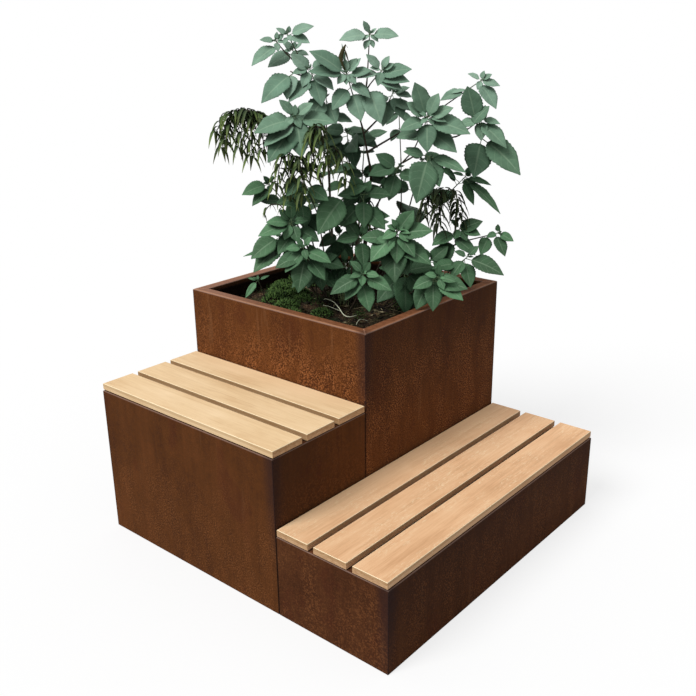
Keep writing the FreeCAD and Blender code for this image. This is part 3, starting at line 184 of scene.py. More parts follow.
class Finish(Nodes):
    """A material with one Principled shader. Its base is the colour that coats go over."""

    def __init__(self, name, roughness, specular=0.3, metallic=0.0):
        self.material = bpy.data.materials.new(name)
        self.material.use_nodes = True
        super().__init__(self.material.node_tree)
        self.shader = self.tree.nodes["Principled BSDF"]
        self.shader.inputs["Roughness"].default_value = roughness
        self.shader.inputs["Specular IOR Level"].default_value = specular
        self.shader.inputs["Metallic"].default_value = metallic
        self.base = None

    def spot(self, stretch=(1, 1, 1), shift=(0, 0, 0)):
        """The place on the object in metres, stretched along each axis."""
        place = self.add("ShaderNodeTexCoord").outputs["Object"]
        inputs = {"Vector": place, "Scale": stretch, "Location": shift}
        return self.add("ShaderNodeMapping", inputs).outputs["Vector"]

    def noise(self, place, scale, detail, roughness, distortion=0.0):
        """Soft noise from 0 to 1, with its scale in bumps per metre."""
        inputs = {"Vector": place, "Scale": scale, "Detail": detail}
        inputs.update({"Roughness": roughness, "Distortion": distortion})
        return self.add("ShaderNodeTexNoise", inputs).outputs["Fac"]

    def marks(self, place, scale, detail, roughness, low, high, distortion=0.0):
        """Marks where such a noise is high: 0 up to low and 1 from high on."""
        return self.rise(self.noise(place, scale, detail, roughness, distortion), low, high)

    def ramp(self, share, *stops):
        """A colour for each share: stops are pairs of a place and a colour code."""
        node = self.add("ShaderNodeValToRGB", {"Fac": share})
        band = node.color_ramp
        while len(band.elements) < len(stops):
            band.elements.new(1.0)
        for element, (place, code) in zip(band.elements, stops):
            element.position = place
            element.color = colour(code)
        return node.outputs["Color"]

    def mix(self, share, first, second, kind="MIX"):
        inputs = {0: share, 6: first, 7: second}
        settings = {"data_type": "RGBA", "blend_type": kind, "clamp_result": True}
        return self.add("ShaderNodeMix", inputs, **settings).outputs[2]

    def coat(self, share, over, amount=1.0, kind="MIX"):
        """Lays a colour, written as a code or from a socket, over the base by share and amount."""
        shade = colour(over) if isinstance(over, str) else over
        self.base = self.mix(self.times(share, amount), self.base, shade, kind)

    def paint(self, source, socket="Base Color"):
        self.tree.links.new(source, self.shader.inputs[socket])

    def done(self, height=None, distance=0.0, strength=1.0):
        """The material, painted with its base and with a bump where a height is given."""
        self.paint(self.base)
        if height is not None:
            inputs = {"Height": height, "Distance": distance, "Strength": strength}
            self.paint(self.add("ShaderNodeBump", inputs).outputs["Normal"], "Normal")
        return self.material

    def surface(self, output):
        return self.add("ShaderNodeNewGeometry").outputs[output]

    def facing(self, axis):
        """How far the surface looks along one axis of the frame, from -1 to 1."""
        return self.part(self.surface("True Normal"), axis)

    def tilted(self, start, full, falling, end):
        """1 where the surface looks up by a share from full to falling, and 0 before and beyond."""
        up = self.facing("Z")
        return self.times(self.rise(up, start, full), self.rise(up, end, falling))

    def level(self, axis, start, end):
        """0 at one level along an axis of the frame, in metres, and 1 at the other."""
        return self.rise(self.part(self.surface("Position"), axis), start, end)

    def within(self, place, low, high):
        """1 inside a rectangle from its low to its high corner, and 0 outside."""
        inside = 1.0
        for axis, start, end in zip("XY", low, high):
            off = self.calc("SUBTRACT", self.part(place, axis), (start + end) / 2)
            near = self.calc("LESS_THAN", self.calc("ABSOLUTE", off), (end - start) / 2)
            inside = self.times(near, inside)
        return inside

    def in_planter(self, margin):
        """1 on faces inside the planter's outline by more than a margin in metres."""
        high = [size / 2 * MM - margin for size in (PLANTER_LENGTH, PLANTER_DEPTH)]
        return self.within(self.surface("Position"), [-reach for reach in high], high)

    def depth_in(self, centre, radii, outer, inner):
        """0 outside an egg shape and 1 in its core: outer and inner are shares of its radii."""
        stretch = [1 / radius for radius in radii]
        shift = [-place / radius for place, radius in zip(centre, radii)]
        return self.rise(self.reach(self.spot(stretch, shift)), outer, inner)

    def occlusion_shade(self, distance, low, high):
        """1 in narrow gaps, where shade falls, and 0 in the open: a mask for painted shade and
        light.
        """
        around = self.add("ShaderNodeAmbientOcclusion", {"Distance": distance}, samples=8)
        return self.rise(around.outputs["AO"], high, low)

    def edges(self, radius, low, high):
        """1 along the outer edges of the shape, and how far the rounded edge looks up."""
        rounded = self.add("ShaderNodeBevel", {"Radius": radius}, samples=4).outputs["Normal"]
        inputs = {0: rounded, 1: self.surface("True Normal")}
        meeting = self.add("ShaderNodeVectorMath", inputs, operation="DOT_PRODUCT")
        turned = self.less(meeting.outputs["Value"])
        return self.rise(turned, low, high), self.part(rounded, "Z")

    def tone(self):
        """The tone that each leaf or stem carries on its mesh: its own, and its place."""
        carried = self.add("ShaderNodeAttribute", attribute_name="tone").outputs["Color"]
        parts = self.add("ShaderNodeSeparateColor", {"Color": carried}).outputs
        return parts["Red"], parts["Green"]

    def blade(self):
        """The place on a leaf: from its midrib to its edge and from its foot to its tip."""
        flat = self.add("ShaderNodeUVMap", uv_map="blade").outputs["UV"]
        across = self.calc("ABSOLUTE", self.scaled(self.part(flat, "X"), 2.0, -1.0))
        return across, self.part(flat, "Y")


def rust_clouds(finish, shift, mottle, tones, drip_share):
    """Cloudy patches, with dark runs, pale drips and stains down the sheet."""
    patches = finish.noise(finish.spot(shift=shift), 3.2, 5.0, 0.6, 0.6)
    runs = finish.spot((1, 1, 0.07), shift)
    streaks = finish.noise(runs, 26.0, 5.0, 0.62)
    body = finish.blend((patches, 0.42), (streaks, 0.30), (mottle, 0.28))
    finish.base = finish.ramp(body, *zip((0.36, 0.50, 0.64), tones))
    finish.coat(finish.marks(runs, 95.0, 3.0, 0.6, 0.56, 0.76), "#2b1509", 0.20)
    drips = finish.marks(finish.spot((1, 1, 0.1), shift), 38.0, 3.0, 0.6, 0.60, 0.72)
    finish.coat(drips, "#7f5636", drip_share)
    stains = finish.marks(finish.spot((1, 1, 0.5), shift), 9.0, 4.0, 0.6, 0.55, 0.68)
    finish.coat(stains, "#43190b", 0.35)


def rust_grains(finish, shift, grain, grains, grain_level, right_face_shade):
    """Clusters of orange grains, a little fewer under the painted shade, with dark pits."""
    clusters = finish.marks(finish.spot((1, 1, 0.45), shift), 13.0, 4.0, 0.65, 0.40, 0.60, 0.5)
    dense = finish.scaled(finish.level("Z", *grain_level), 0.75, 0.25)
    dense = finish.times(dense, finish.scaled(clusters, 0.7, 0.3), grains)
    fewer = finish.scaled(right_face_shade, -0.15, 1.0)
    finish.coat(finish.times(finish.rise(grain, 0.51, 0.58), dense, fewer), "#9c6238")
    finish.coat(finish.times(finish.rise(grain, 0.46, 0.39), dense), "#2e170a")


def planter_rim(finish, upward):
    """The planter's own rim: a painted sheen on its top, paler toward the left, and a painted
    highlight along its outer edge, weaker at the right end.
    """
    height = PLANTER_HEIGHT * MM
    top = finish.times(upward, finish.level("Z", height - 0.015, height - 0.005))
    # Painted sheen on the rim's top, paler toward the left.
    finish.coat(finish.times(top, finish.level("X", 0.1, -0.35)), "#c39a88", 0.28)
    brink = finish.less(finish.in_planter(RIM_EDGE))
    duller = finish.scaled(finish.level("X", 0.36, 0.395), -0.55, 1.0)
    # A painted highlight along the rim's outer edge, weaker at the right end.
    finish.coat(finish.times(top, brink, duller), "#c8946f", 0.42)


def weathering_steel(name, shift, tones, grains, grain_level, rim, shade, corner):
    """Rusted sheet. Its rim is worn pale and lit by a painted sheen and highlights, painted shade
    lies on the faces to the right and in narrow gaps, a dark band runs down the corner, and
    painted shade darkens the planter's inner walls."""
    finish = Finish(name, 0.85, 0.14)
    place = finish.spot(shift=shift)
    mottle = finish.noise(place, 70.0, 4.0, 0.65)
    grain = finish.noise(place, 215.0, 2.5, 0.7)
    right_face_shade = finish.times(finish.rise(finish.facing("X"), 0.5, 0.9), finish.level(*shade))
    upward = finish.rise(finish.facing("Z"), 0.55, 0.9)
    arris, looks_up = finish.edges(0.0045, 0.02, 0.14)
    rust_clouds(finish, shift, mottle, tones, 0.08 + 0.25 * rim)
    # Painted shade on the faces that look to the right, growing along the shell's shade axis.
    finish.coat(right_face_shade, "#1f120d", 0.45)
    rust_grains(finish, shift, grain, grains, grain_level, right_face_shade)
    # Upward faces paler: wear, and a painted sheen.
    flange = finish.ramp(mottle, (0.35, "#6a4026"), (0.65, "#8a583a"))
    finish.coat(upward, flange, rim)
    # A painted highlight along the rounded edges that look up, scaled with the rim's wear.
    finish.coat(finish.times(arris, finish.rise(looks_up, 0.1, 0.4)), "#dba688", rim)
    planter_rim(finish, upward)
    # A painted highlight on faces that tilt up, such as the folds at the top of the sheet.
    finish.coat(finish.tilted(0.1, 0.3, 0.85, 0.97), "#a58d82", 0.36)
    # Painted shade on upward faces in narrow gaps, such as under the slats.
    finish.coat(finish.times(finish.occlusion_shade(0.015, 0.4, 0.8), upward), "#0e0806", 0.9)
    finish.coat(finish.times(arris, finish.rise(looks_up, 0.3, 0.05)), "#24140e", 0.75)
    # A dark band down the shell's front right corner.
    finish.coat(finish.depth_in(corner, CORNER_DARK_RADII, 1.0, 0.2), "#22161a", 0.55)
    height = PLANTER_HEIGHT * MM
    # Painted shade on the planter's inner walls, below its rim.
    inner_shade = finish.level("Z", height - 0.002, height - 0.02)
    finish.coat(finish.times(finish.in_planter(SHEET / 2 * MM), inner_shade), "#1d130c", 0.85)
    rough = finish.rise(mottle, 0.2, 0.8, "LINEAR")
    finish.paint(finish.scaled(rough, 0.2, 0.72), "Roughness")
    return finish.done(finish.blend((grain, 0.5), (mottle, 0.6)), 0.0009, 0.7)


def slat_wood(name, along_x, seed, tones, flecks, gap_shade, top):
    """Planed board: soft clouds, faint long grain, pale flecks in arches, a painted highlight on
    the arris, sides a little darker with painted shade and darker still just under the arris,
    painted shade in its gaps by its given share, and painted light on its top where shade falls."""
    finish = Finish(name, 0.62, 0.22)
    shift = (seed * 1.37, seed * 2.11, seed * 0.53)

    def along(share):
        return finish.spot((share, 1, 1) if along_x else (1, share, 1), shift)

    bands = finish.noise(along(0.045), 24.0, 4.0, 0.55, 1.3)
    grain = finish.noise(along(0.045), 165.0, 5.0, 0.68, 0.3)
    cloud = finish.noise(along(0.4), 11.0, 4.0, 0.55, 0.4)
    fibres = finish.noise(along(0.12), 620.0, 3.0, 0.7)
    share = finish.blend((bands, 0.26), (grain, 0.38), (cloud, 0.36))
    finish.base = finish.ramp(share, *zip((0.38, 0.50, 0.62), tones))
    finish.coat(finish.rise(fibres, 0.60, 0.74), "#9a7048", 0.14)
    arches = finish.marks(along(0.2), 120.0, 4.0, 0.6, 0.52, 0.66, 2.4)
    figured = finish.marks(along(0.3), 14.0, 3.0, 0.5, 0.40, 0.57)
    finish.coat(finish.times(arches, figured), "#ffe9c2", flecks)
    end = finish.rise(finish.calc("ABSOLUTE", finish.facing("X" if along_x else "Y")), 0.5, 0.9)
    rings = finish.noise(finish.spot((1, 1, 4), shift), 60.0, 4.0, 0.6, 0.8)
    finish.coat(end, finish.ramp(rings, (0.35, "#b98e66"), (0.65, "#ddb68c")))
    side = finish.rise(finish.facing("Z"), 0.75, 0.3)
    # Painted shade on the sides of the board.
    finish.coat(side, "#8f6a45", 0.12)
    finish.coat(finish.times(side, finish.level("Z", top - 0.013, top - 0.008)), "#94703e", 0.3)
    # A painted highlight on the rounded arris.
    finish.coat(finish.tilted(0.15, 0.35, 0.93, 0.99), "#ffedc8", 0.8)
    # Painted shade in the gaps between the boards and by the walls.
    finish.coat(finish.times(finish.occlusion_shade(0.03, 0.72, 0.94), side), "#7d4d1c", gap_shade)
    # Painted light that lifts the top where shade falls, near walls and other boards.
    finish.coat(finish.times(finish.occlusion_shade(0.24, 0.3, 0.84), finish.facing("Z")), "#ffdaac")
    return finish.done(finish.blend((fibres, 0.3), (grain, 0.6)), 0.0006, 0.6)


def speckled(name, roughness, stops, scale, distance, specular=0.25, metallic=0.0):
    """A plain rough material: grains of a few colours with a bump to match."""
    finish = Finish(name, roughness, specular, metallic)
    coarse = finish.noise(finish.spot(), scale, 5.0, 0.65)
    finish.base = finish.ramp(coarse, *stops)
    return finish.done(coarse, distance, 0.8)


def stones(name, stops, scale):
    """Rounded stones of several colours."""
    finish = Finish(name, 0.85)
    inputs = {"Vector": finish.spot(), "Scale": scale}
    cells = finish.add("ShaderNodeTexVoronoi", inputs, feature="F1").outputs
    finish.base = finish.ramp(cells["Color"], *stops)
    return finish.done(finish.less(cells["Distance"]), 0.006)


def soil_material():
    """Dark crumbs, moist in places, with green algae and pale flecks."""
    finish = Finish("soil_finish", 0.95, 0.12)
    place = finish.spot()
    crumbs = finish.noise(place, 90.0, 6.0, 0.7)
    finish.base = finish.ramp(crumbs, (0.38, "#17100b"), (0.52, "#3a2a1e"), (0.68, "#6d573f"))
    finish.coat(finish.marks(place, 7.0, 3.0, 0.5, 0.45, 0.65), "#241a12", 1.0, "MULTIPLY")
    algae = finish.marks(finish.spot(shift=(3, 1, 0)), 14.0, 4.0, 0.6, 0.45, 0.62)
    finish.coat(algae, "#232f19", 0.55)
    finish.coat(finish.marks(place, 240.0, 2.0, 0.6, 0.63, 0.70), "#8c8468", 0.7)
    return finish.done(crumbs, 0.004, 0.9)


def leaf_material(name, low_dark, low_light, high_dark, high_light, vein, under=False):
    """A matt leaf: midrib, side veins that curve to the tip, a soft quilting between them, and
    painted shade in narrow gaps, in the shrub's core and on steep leaves, less near the top. The
    colours are for leaves low and high in the shrub, partly their own and partly painted light."""
    finish = Finish(name, 0.58, 0.13)
    own, height = finish.tone()
    across, along = finish.blade()
    bow = finish.times(finish.calc("POWER", across, 1.6), 0.22)
    phase = finish.calc("FRACT", finish.times(finish.calc("SUBTRACT", along, bow), 5.5))
    off = finish.calc("ABSOLUTE", finish.calc("SUBTRACT", phase, 0.5))
    side_vein = finish.times(finish.rise(off, 0.075, 0.0), finish.rise(across, 1.0, 0.7), 0.6)
    veins = finish.calc("MAXIMUM", finish.rise(across, 0.10, 0.03), side_vein)
    # Paler high and darker low in the shrub: partly own colour, partly painted light and shade.
    low = finish.mix(own, colour(low_dark), colour(low_light))
    high = finish.mix(own, colour(high_dark), colour(high_light))
    finish.base = finish.mix(height, low, high)
    cloud = finish.noise(finish.spot(), 24.0, 4.0, 0.6)
    finish.coat(0.5, finish.ramp(cloud, (0.3, "#777777"), (0.7, "#c4c4c4")), 1.0, "OVERLAY")
    fine = finish.noise(finish.spot(), 420.0, 2.0, 0.6)
    finish.coat(fine, vein, 0.16)
    finish.coat(finish.rise(across, 0.90, 1.0), low_dark, 0.25)
    finish.coat(veins, vein, 0.45 if under else 0.2)
    # Painted shade: in narrow gaps, in the shrub's core and on steep leaves, less high up.
    crowded = finish.times(finish.occlusion_shade(CROWDED, 0.2, 0.78), 0.95)
    core = finish.times(finish.depth_in(SHRUB_CORE, SHRUB_RADII, 1.0, 0.5), 0.72)
    steep = finish.times(finish.rise(finish.calc("ABSOLUTE", finish.facing("Z")), 0.75, 0.1), 0.5)
    shade = finish.calc("MAXIMUM", finish.calc("MAXIMUM", crowded, core), steep)
    finish.coat(finish.times(shade, finish.scaled(height, -0.45, 1.0)), "#112b16")
    quilt = finish.blend((finish.rise(off, 0.0, 0.42), 0.7), (finish.rise(across, 0.0, 0.12), 1.0))
    if under:
        quilt = finish.less(quilt)
    return finish.done(finish.scaled(fine, 0.3, quilt), 0.0006, 0.45)


def stalk_material(name, dark, light):
    """Smooth stalks between two colours, by each one's own tone and a soft cloud."""
    finish = Finish(name, 0.6, 0.25)
    own, _ = finish.tone()
    cloud = finish.noise(finish.spot((1, 1, 0.25)), 140.0, 3.0, 0.6)
    finish.base = finish.mix(finish.blend((cloud, 0.5), (own, 0.5)), colour(dark), colour(light))
    return finish.done(cloud, 0.0004, 0.5)


def bark_material():
    """Ridged bark: the stem's own tone makes it dark brown or grey, and green near the tip."""
    finish = Finish("bark_finish", 0.85, 0.18)
    own, young = finish.tone()
    ridges = finish.noise(finish.spot((1, 1, 0.16)), 260.0, 5.0, 0.68)
    finish.base = finish.ramp(ridges, (0.35, "#17120d"), (0.65, "#43372a"))
    finish.coat(own, finish.ramp(ridges, (0.35, "#4a463a"), (0.65, "#8d8875")))
    finish.coat(finish.rise(young, 0.80, 1.0), "#5c7550")
    return finish.done(ridges, 0.0016, 0.8)


def narrow_material():
    """Narrow hanging leaves: dark at the twig and paler to the tip, brown or green by their own
    tone, with painted shade where they are crowded and on the right tassel."""
    finish = Finish("narrow_leaf_finish", 0.6, 0.22)
    own, _ = finish.tone()
    across, along = finish.blade()
    finish.base = finish.ramp(along, (0.0, "#121d0f"), (0.6, "#223519"), (1.0, "#454a26"))
    finish.coat(own, finish.ramp(along, (0.0, "#21361a"), (0.5, "#455e2d"), (1.0, "#859a50")))
    finish.coat(finish.rise(across, 0.45, 0.0), "#8c9660", 0.25)
    # Painted shade on the right tassel and in narrow gaps.
    right = finish.times(finish.level("X", *NARROW_SHADE), 0.95)
    shade = finish.calc("MAXIMUM", finish.occlusion_shade(NARROW_CROWDED, 0.3, 0.8), right)
    finish.coat(shade, "#121b0c", 0.8)
    return finish.done()


def litter_material():
    """Dead leaves and twigs: dark, brown or bleached by each one's own tone."""
    finish = Finish("litter_finish", 0.85, 0.15)
    own, _ = finish.tone()
    cloud = finish.noise(finish.spot(), 300.0, 3.0, 0.6)
    stops = ((0.2, "#15130b"), (0.5, "#3a3a22"), (0.7, "#5b4f35"), (0.95, "#b3aa88"))
    finish.base = finish.ramp(finish.blend((cloud, 0.25), (own, 0.75)), *stops)
    return finish.done(cloud, 0.0008, 0.5)


def moss_material():
    """Green leaflets, darker at their feet, each a little different."""
    finish = Finish("moss_finish", 0.9, 0.15)
    own, height = finish.tone()
    low = finish.mix(own, colour("#141d0e"), colour("#25331a"))
    high = finish.mix(own, colour("#2f4722"), colour("#5d7a3e"))
    finish.base = finish.mix(height, low, high)
    return finish.done(finish.noise(finish.spot(), 160.0, 4.0, 0.7), 0.001, 0.6)


def placed(name, data):
    """A new object in the scene."""
    piece = bpy.data.objects.new(name, data)
    bpy.context.scene.collection.objects.link(piece)
    return piece


def camera():
    """The photograph's camera."""
    data = bpy.data.cameras.new("camera")
    data.lens = CAMERA_LENS
    data.sensor_width = CAMERA_SENSOR
    data.clip_end = CAMERA_SIGHT
    piece = placed("camera", data)
    right, up, back = Vector(CAMERA_RIGHT), Vector(CAMERA_UP), Vector(CAMERA_BACK)
    turn = Matrix((right, up, back)).transposed().to_4x4()
    piece.matrix_world = Matrix.Translation(Vector(CAMERA_PLACE)) @ turn
    bpy.context.scene.camera = piece


def world_and_lamps():
    """An even sky that the camera and glossy surfaces see as white, and one broad soft lamp."""
    world = bpy.data.worlds.new("world")
    world.use_nodes = True
    world.node_tree.nodes.clear()
    nodes = Nodes(world.node_tree)
    rays = nodes.add("ShaderNodeLightPath").outputs
    seen = nodes.calc("MAXIMUM", rays["Is Camera Ray"], rays["Is Glossy Ray"])
    seen = nodes.calc("MAXIMUM", seen, rays["Is Transmission Ray"])
    sky = nodes.add("ShaderNodeBackground", {"Color": WHITE, "Strength": SKY_LEVEL}).outputs[0]
    white = nodes.add("ShaderNodeBackground", {"Color": WHITE, "Strength": 1.0}).outputs[0]
    mixed = nodes.add("ShaderNodeMixShader", {0: seen, 1: sky, 2: white}).outputs[0]
    nodes.add("ShaderNodeOutputWorld", {"Surface": mixed})
    bpy.context.scene.world = world
    data = bpy.data.lights.new("key_lamp", "SUN")
    data.energy = SUN_LEVEL * math.pi
    data.angle = math.radians(SUN_SOFTNESS)
    lamp = placed("key_lamp", data)
    lamp.rotation_euler = Vector(SUN_FROM).to_track_quat("Z", "Y").to_euler()


def open_ground(finish, panels):
    """0 on the ground between two panels of a bench's shell, and 1 beyond them."""
    low = [min(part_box(panel)[0][axis] for panel in panels) for axis in (0, 1)]
    high = [max(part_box(panel)[1][axis] for panel in panels) for axis in (0, 1)]
    return finish.less(finish.within(finish.spot(), low, high))


def floor():
    """A wide plain floor: white to the camera, with the object's shadow, and duller as a bounce."""
    half = FLOOR_SIDE / 2
    mesh = bpy.data.meshes.new("floor")
    corners = [(x * half, y * half, -FLOOR_DROP) for x, y in ((-1, -1), (1, -1), (1, 1), (-1, 1))]
    mesh.from_pydata(corners, [], [(0, 1, 2, 3)])
    piece = placed("floor", mesh)
    finish = Finish("floor_finish", 1.0, 0.0)
    finish.shader.inputs["Base Color"].default_value = colour(FLOOR_BOUNCE)
    fade = finish.rise(finish.reach(finish.spot()), *FLOOR_FADE)
    share = finish.scaled(fade, SHADOW_SHARE, 1 - SHADOW_SHARE)
    for bench in ("high_bench", "low_bench"):
        panels = (f"{bench}_left_panel", f"{bench}_right_panel")
        share = finish.times(share, open_ground(finish, panels))
    lit = finish.add("ShaderNodeBsdfDiffuse", {"Color": WHITE}).outputs[0]
    white = finish.add("ShaderNodeEmission", {"Color": WHITE, "Strength": 1.0}).outputs[0]
    shown = finish.add("ShaderNodeMixShader", {0: share, 1: lit, 2: white}).outputs[0]
    seen = finish.add("ShaderNodeLightPath").outputs["Is Camera Ray"]
    inputs = {0: seen, 1: finish.shader.outputs[0], 2: shown}
    chosen = finish.add("ShaderNodeMixShader", inputs).outputs[0]
    finish.tree.links.new(chosen, finish.tree.nodes["Material Output"].inputs["Surface"])
    mesh.materials.append(finish.material)


def dress(node, material):
    """Gives a carried-over solid its material."""
    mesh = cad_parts[node].data
    mesh.materials.clear()
    mesh.materials.append(material)


def dress_solids():
    """Steel for the shells, wood for the slats, and plain finishes for the small parts."""
    for place, (prefix, settings) in enumerate(STEELS.items()):
        (_, front, _), (right, _, top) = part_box(f"{prefix}_front_panel")
        shift = (place * 3.1, place * 1.7, 0)
        steel = weathering_steel(f"{prefix}_steel", shift, *settings, (right, front, top))
        for node in (*SHELL_PANELS, *SHELL_FRAMES[prefix]):
            dress(f"{prefix}_{node}", steel)
    for bench, (along_x, first_seed, *settings) in WOODS.items():
        for seed, row in enumerate(("outer", "middle", "inner"), start=first_seed):
            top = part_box(f"{bench}_bench_slat_{row}")[1].z
            wood = slat_wood(f"{bench}_wood_{row}", along_x, seed, *settings, top)
            dress(f"{bench}_bench_slat_{row}", wood)
    rubber_tones = ((0.3, "#0c0c0c"), (0.7, "#242424"))
    rubber = speckled("rubber_finish", 0.8, rubber_tones, 300.0, 0.0003)
    for node in RUBBER_PARTS:
        dress(node, rubber)
    zinc_tones = ((0.3, "#8c9094"), (0.7, "#b9bcbe"))
    zinc = speckled("zinc_finish", 0.38, zinc_tones, 180.0, 0.0002, 0.5, 0.9)
    for node in ZINC_PARTS:
        dress(node, zinc)
    gravel_tones = ((0.1, "#5d564c"), (0.5, "#8b8377"), (0.9, "#b8b0a2"))
    dress("drainage_gravel", stones("gravel_finish", gravel_tones, 55.0))
    felt_tones = ((0.3, "#a9a9a4"), (0.7, "#cfcfca"))
    dress("filter_fleece", speckled("fleece_finish", 0.95, felt_tones, 500.0, 0.0005))


# The shrub's stems. Each is a route from its foot to its tip in millimetres: X and Y from the
# planter's middle, and the height above the rim, where None is the soil's surface. Before the
# route stand the stem's thickness at its foot and the group that its leaves belong to.
STEMS = {
    "main": (15, "crown", [(20, 40, None), (60, 50, 230), (88, 36, 405), (80, 0, 560),
        (69, -66, 735)]),
    "grey": (13, "crown", [(-40, -20, None), (-14, -60, 270), (0, -92, 520), (10, -100, 660)]),
    "left": (10, "left", [(-75, -30, None), (-118, -90, 172), (-156, -130, 292),
        (-201, -171, 366)]),
    "left_inner": (8, "left", [(-30, -70, None), (-34, -150, 120), (-45, -228, 262)]),
    "left_rim": (7, "low", [(-90, -60, None), (-118, -130, 90), (-142, -186, 190)]),
    "left_centre": (8, "left", [(-50, -60, None), (-62, -112, 190), (-70, -150, 330)]),
    "front_left": (8, "front", [(0, -95, None), (18, -190, 70), (34, -255, 190)]),
    "front_middle": (7, "front", [(120, -125, None), (208, -190, 32), (270, -230, 136)]),
    "front_high": (9, "front", [(95, -25, None), (190, -50, 110), (292, -76, 252)]),
    "front_right": (7, "low", [(190, -5, None), (320, -25, 40), (425, -34, 108)]),
    "centre": (9, "front", [(60, -40, None), (100, -62, 180), (135, -60, 350)]),
    "centre_low": (8, "front", [(70, -70, None), (110, -95, 120), (150, -90, 215)]),
    "low_left": (6, "low", [(-40, -110, None), (-15, -150, 60), (5, -160, 125)]),
    "low_centre": (6, "low", [(40, -60, None), (58, -76, 60), (64, -80, 108)]),
    "low_right": (7, "low", [(170, 10, None), (225, 30, 40), (262, 0, 92)]),
    "low_far": (7, "low", [(200, 120, None), (256, 140, 50), (275, 120, 104)]),
    "low_back": (7, "low", [(20, 120, None), (60, 140, 60), (100, 154, 114)]),
    "low_middle": (6, "low", [(0, 10, None), (0, -20, 90), (-4, -30, 190)]),
    "rim_left": (5, "low", [(-166, -236, None), (-168, -262, 20), (-169, -276, 48)]),
    "slender": (6, "back", [(85, 120, None), (91, 205, 268), (87, 206, 429), (80, 200, 605)]),
    "thin_left": (6, "front", [(-20, -60, None), (8, -151, 280), (21, -246, 437)]),
    "thin_centre": (6, "front", [(30, -40, None), (28, 24, 236), (56, 48, 390)]),
    "thin_right": (6, "front", [(100, -10, None), (113, 31, 263), (118, 75, 406)]),
    "right_low": (9, "right", [(120, 95, None), (235, 165, 100), (335, 222, 212)]),
    "right_rim": (7, "low", [(170, 110, None), (300, 150, 35), (395, 182, 128)]),
    "right_under": (9, "right", [(55, 85, None), (175, 180, 205), (318, 272, 385)]),
    "back": (11, "back", [(-30, 80, None), (-60, 150, 220), (-75, 200, 490)]),
    "back_right": (9, "back", [(40, 110, None), (95, 215, 180), (120, 285, 420)]),
    "back_left": (9, "back", [(-95, 45, None), (-160, 100, 130), (-225, 130, 345)]),
    "back_low": (7, "low", [(-60, 130, None), (-90, 220, 65), (-115, 275, 160)]),
}
# Branches leave a stem at a share of its length and go on through their own points.
BRANCHES = {
    "apex": ("main", 0.80, "crown", [(84, 20, 700), (70, 52, 852)]),
    "left_middle": ("grey", 0.45, "left", [(-12, -160, 510), (-14, -225, 606)]),
    "top_left": ("grey", 0.80, "crown", [(-50, -112, 720), (-104, -154, 855)]),
    "top_left_side": ("grey", 0.84, "crown", [(-60, -92, 700), (-128, -108, 806)]),
    "top_outer": ("top_left", 0.62, "crown", [(-112, -160, 800), (-133, -179, 835)]),
    "right_middle": ("main", 0.46, "right", [(157, 108, 429), (216, 107, 484), (286, 88, 598)]),
    "right_outer": ("right_middle", 0.80, "right", [(323, 198, 522), (366, 286, 580)]),
    "right_top": ("main", 0.66, "right", [(222, 232, 604), (309, 364, 699)]),
    "inner_left": ("main", 0.45, "back", [(10, 10, 430), (-25, 45, 530)]),
    "inner_right": ("main", 0.36, "back", [(140, 40, 340), (190, 60, 430)]),
    "far_right": ("right_low", 0.62, "right", [(330, 250, 160), (425, 325, 190)]),
    "crown_left": ("grey", 0.88, "crown", [(-20, -110, 690), (-34, -128, 748)]),
    "crown_right": ("main", 0.84, "crown", [(110, -10, 690), (150, 16, 742)]),
    "shoulder": ("top_left", 0.70, "crown", [(-50, -138, 724), (-84, -168, 742)]),
    "right_hanging": ("right_outer", 0.90, "right", [(360, 286, 536), (367, 288, 512)]),
    "crown_low": ("main", 0.74, "crown", [(120, 60, 600), (140, 88, 668)]),
    "big_leaf": ("grey", 0.38, "front", [(40, -100, 290), (96, -110, 350)]),
    "hanging": ("right_middle", 0.45, "right", [(250, 84, 476), (288, 92, 470)]),
}
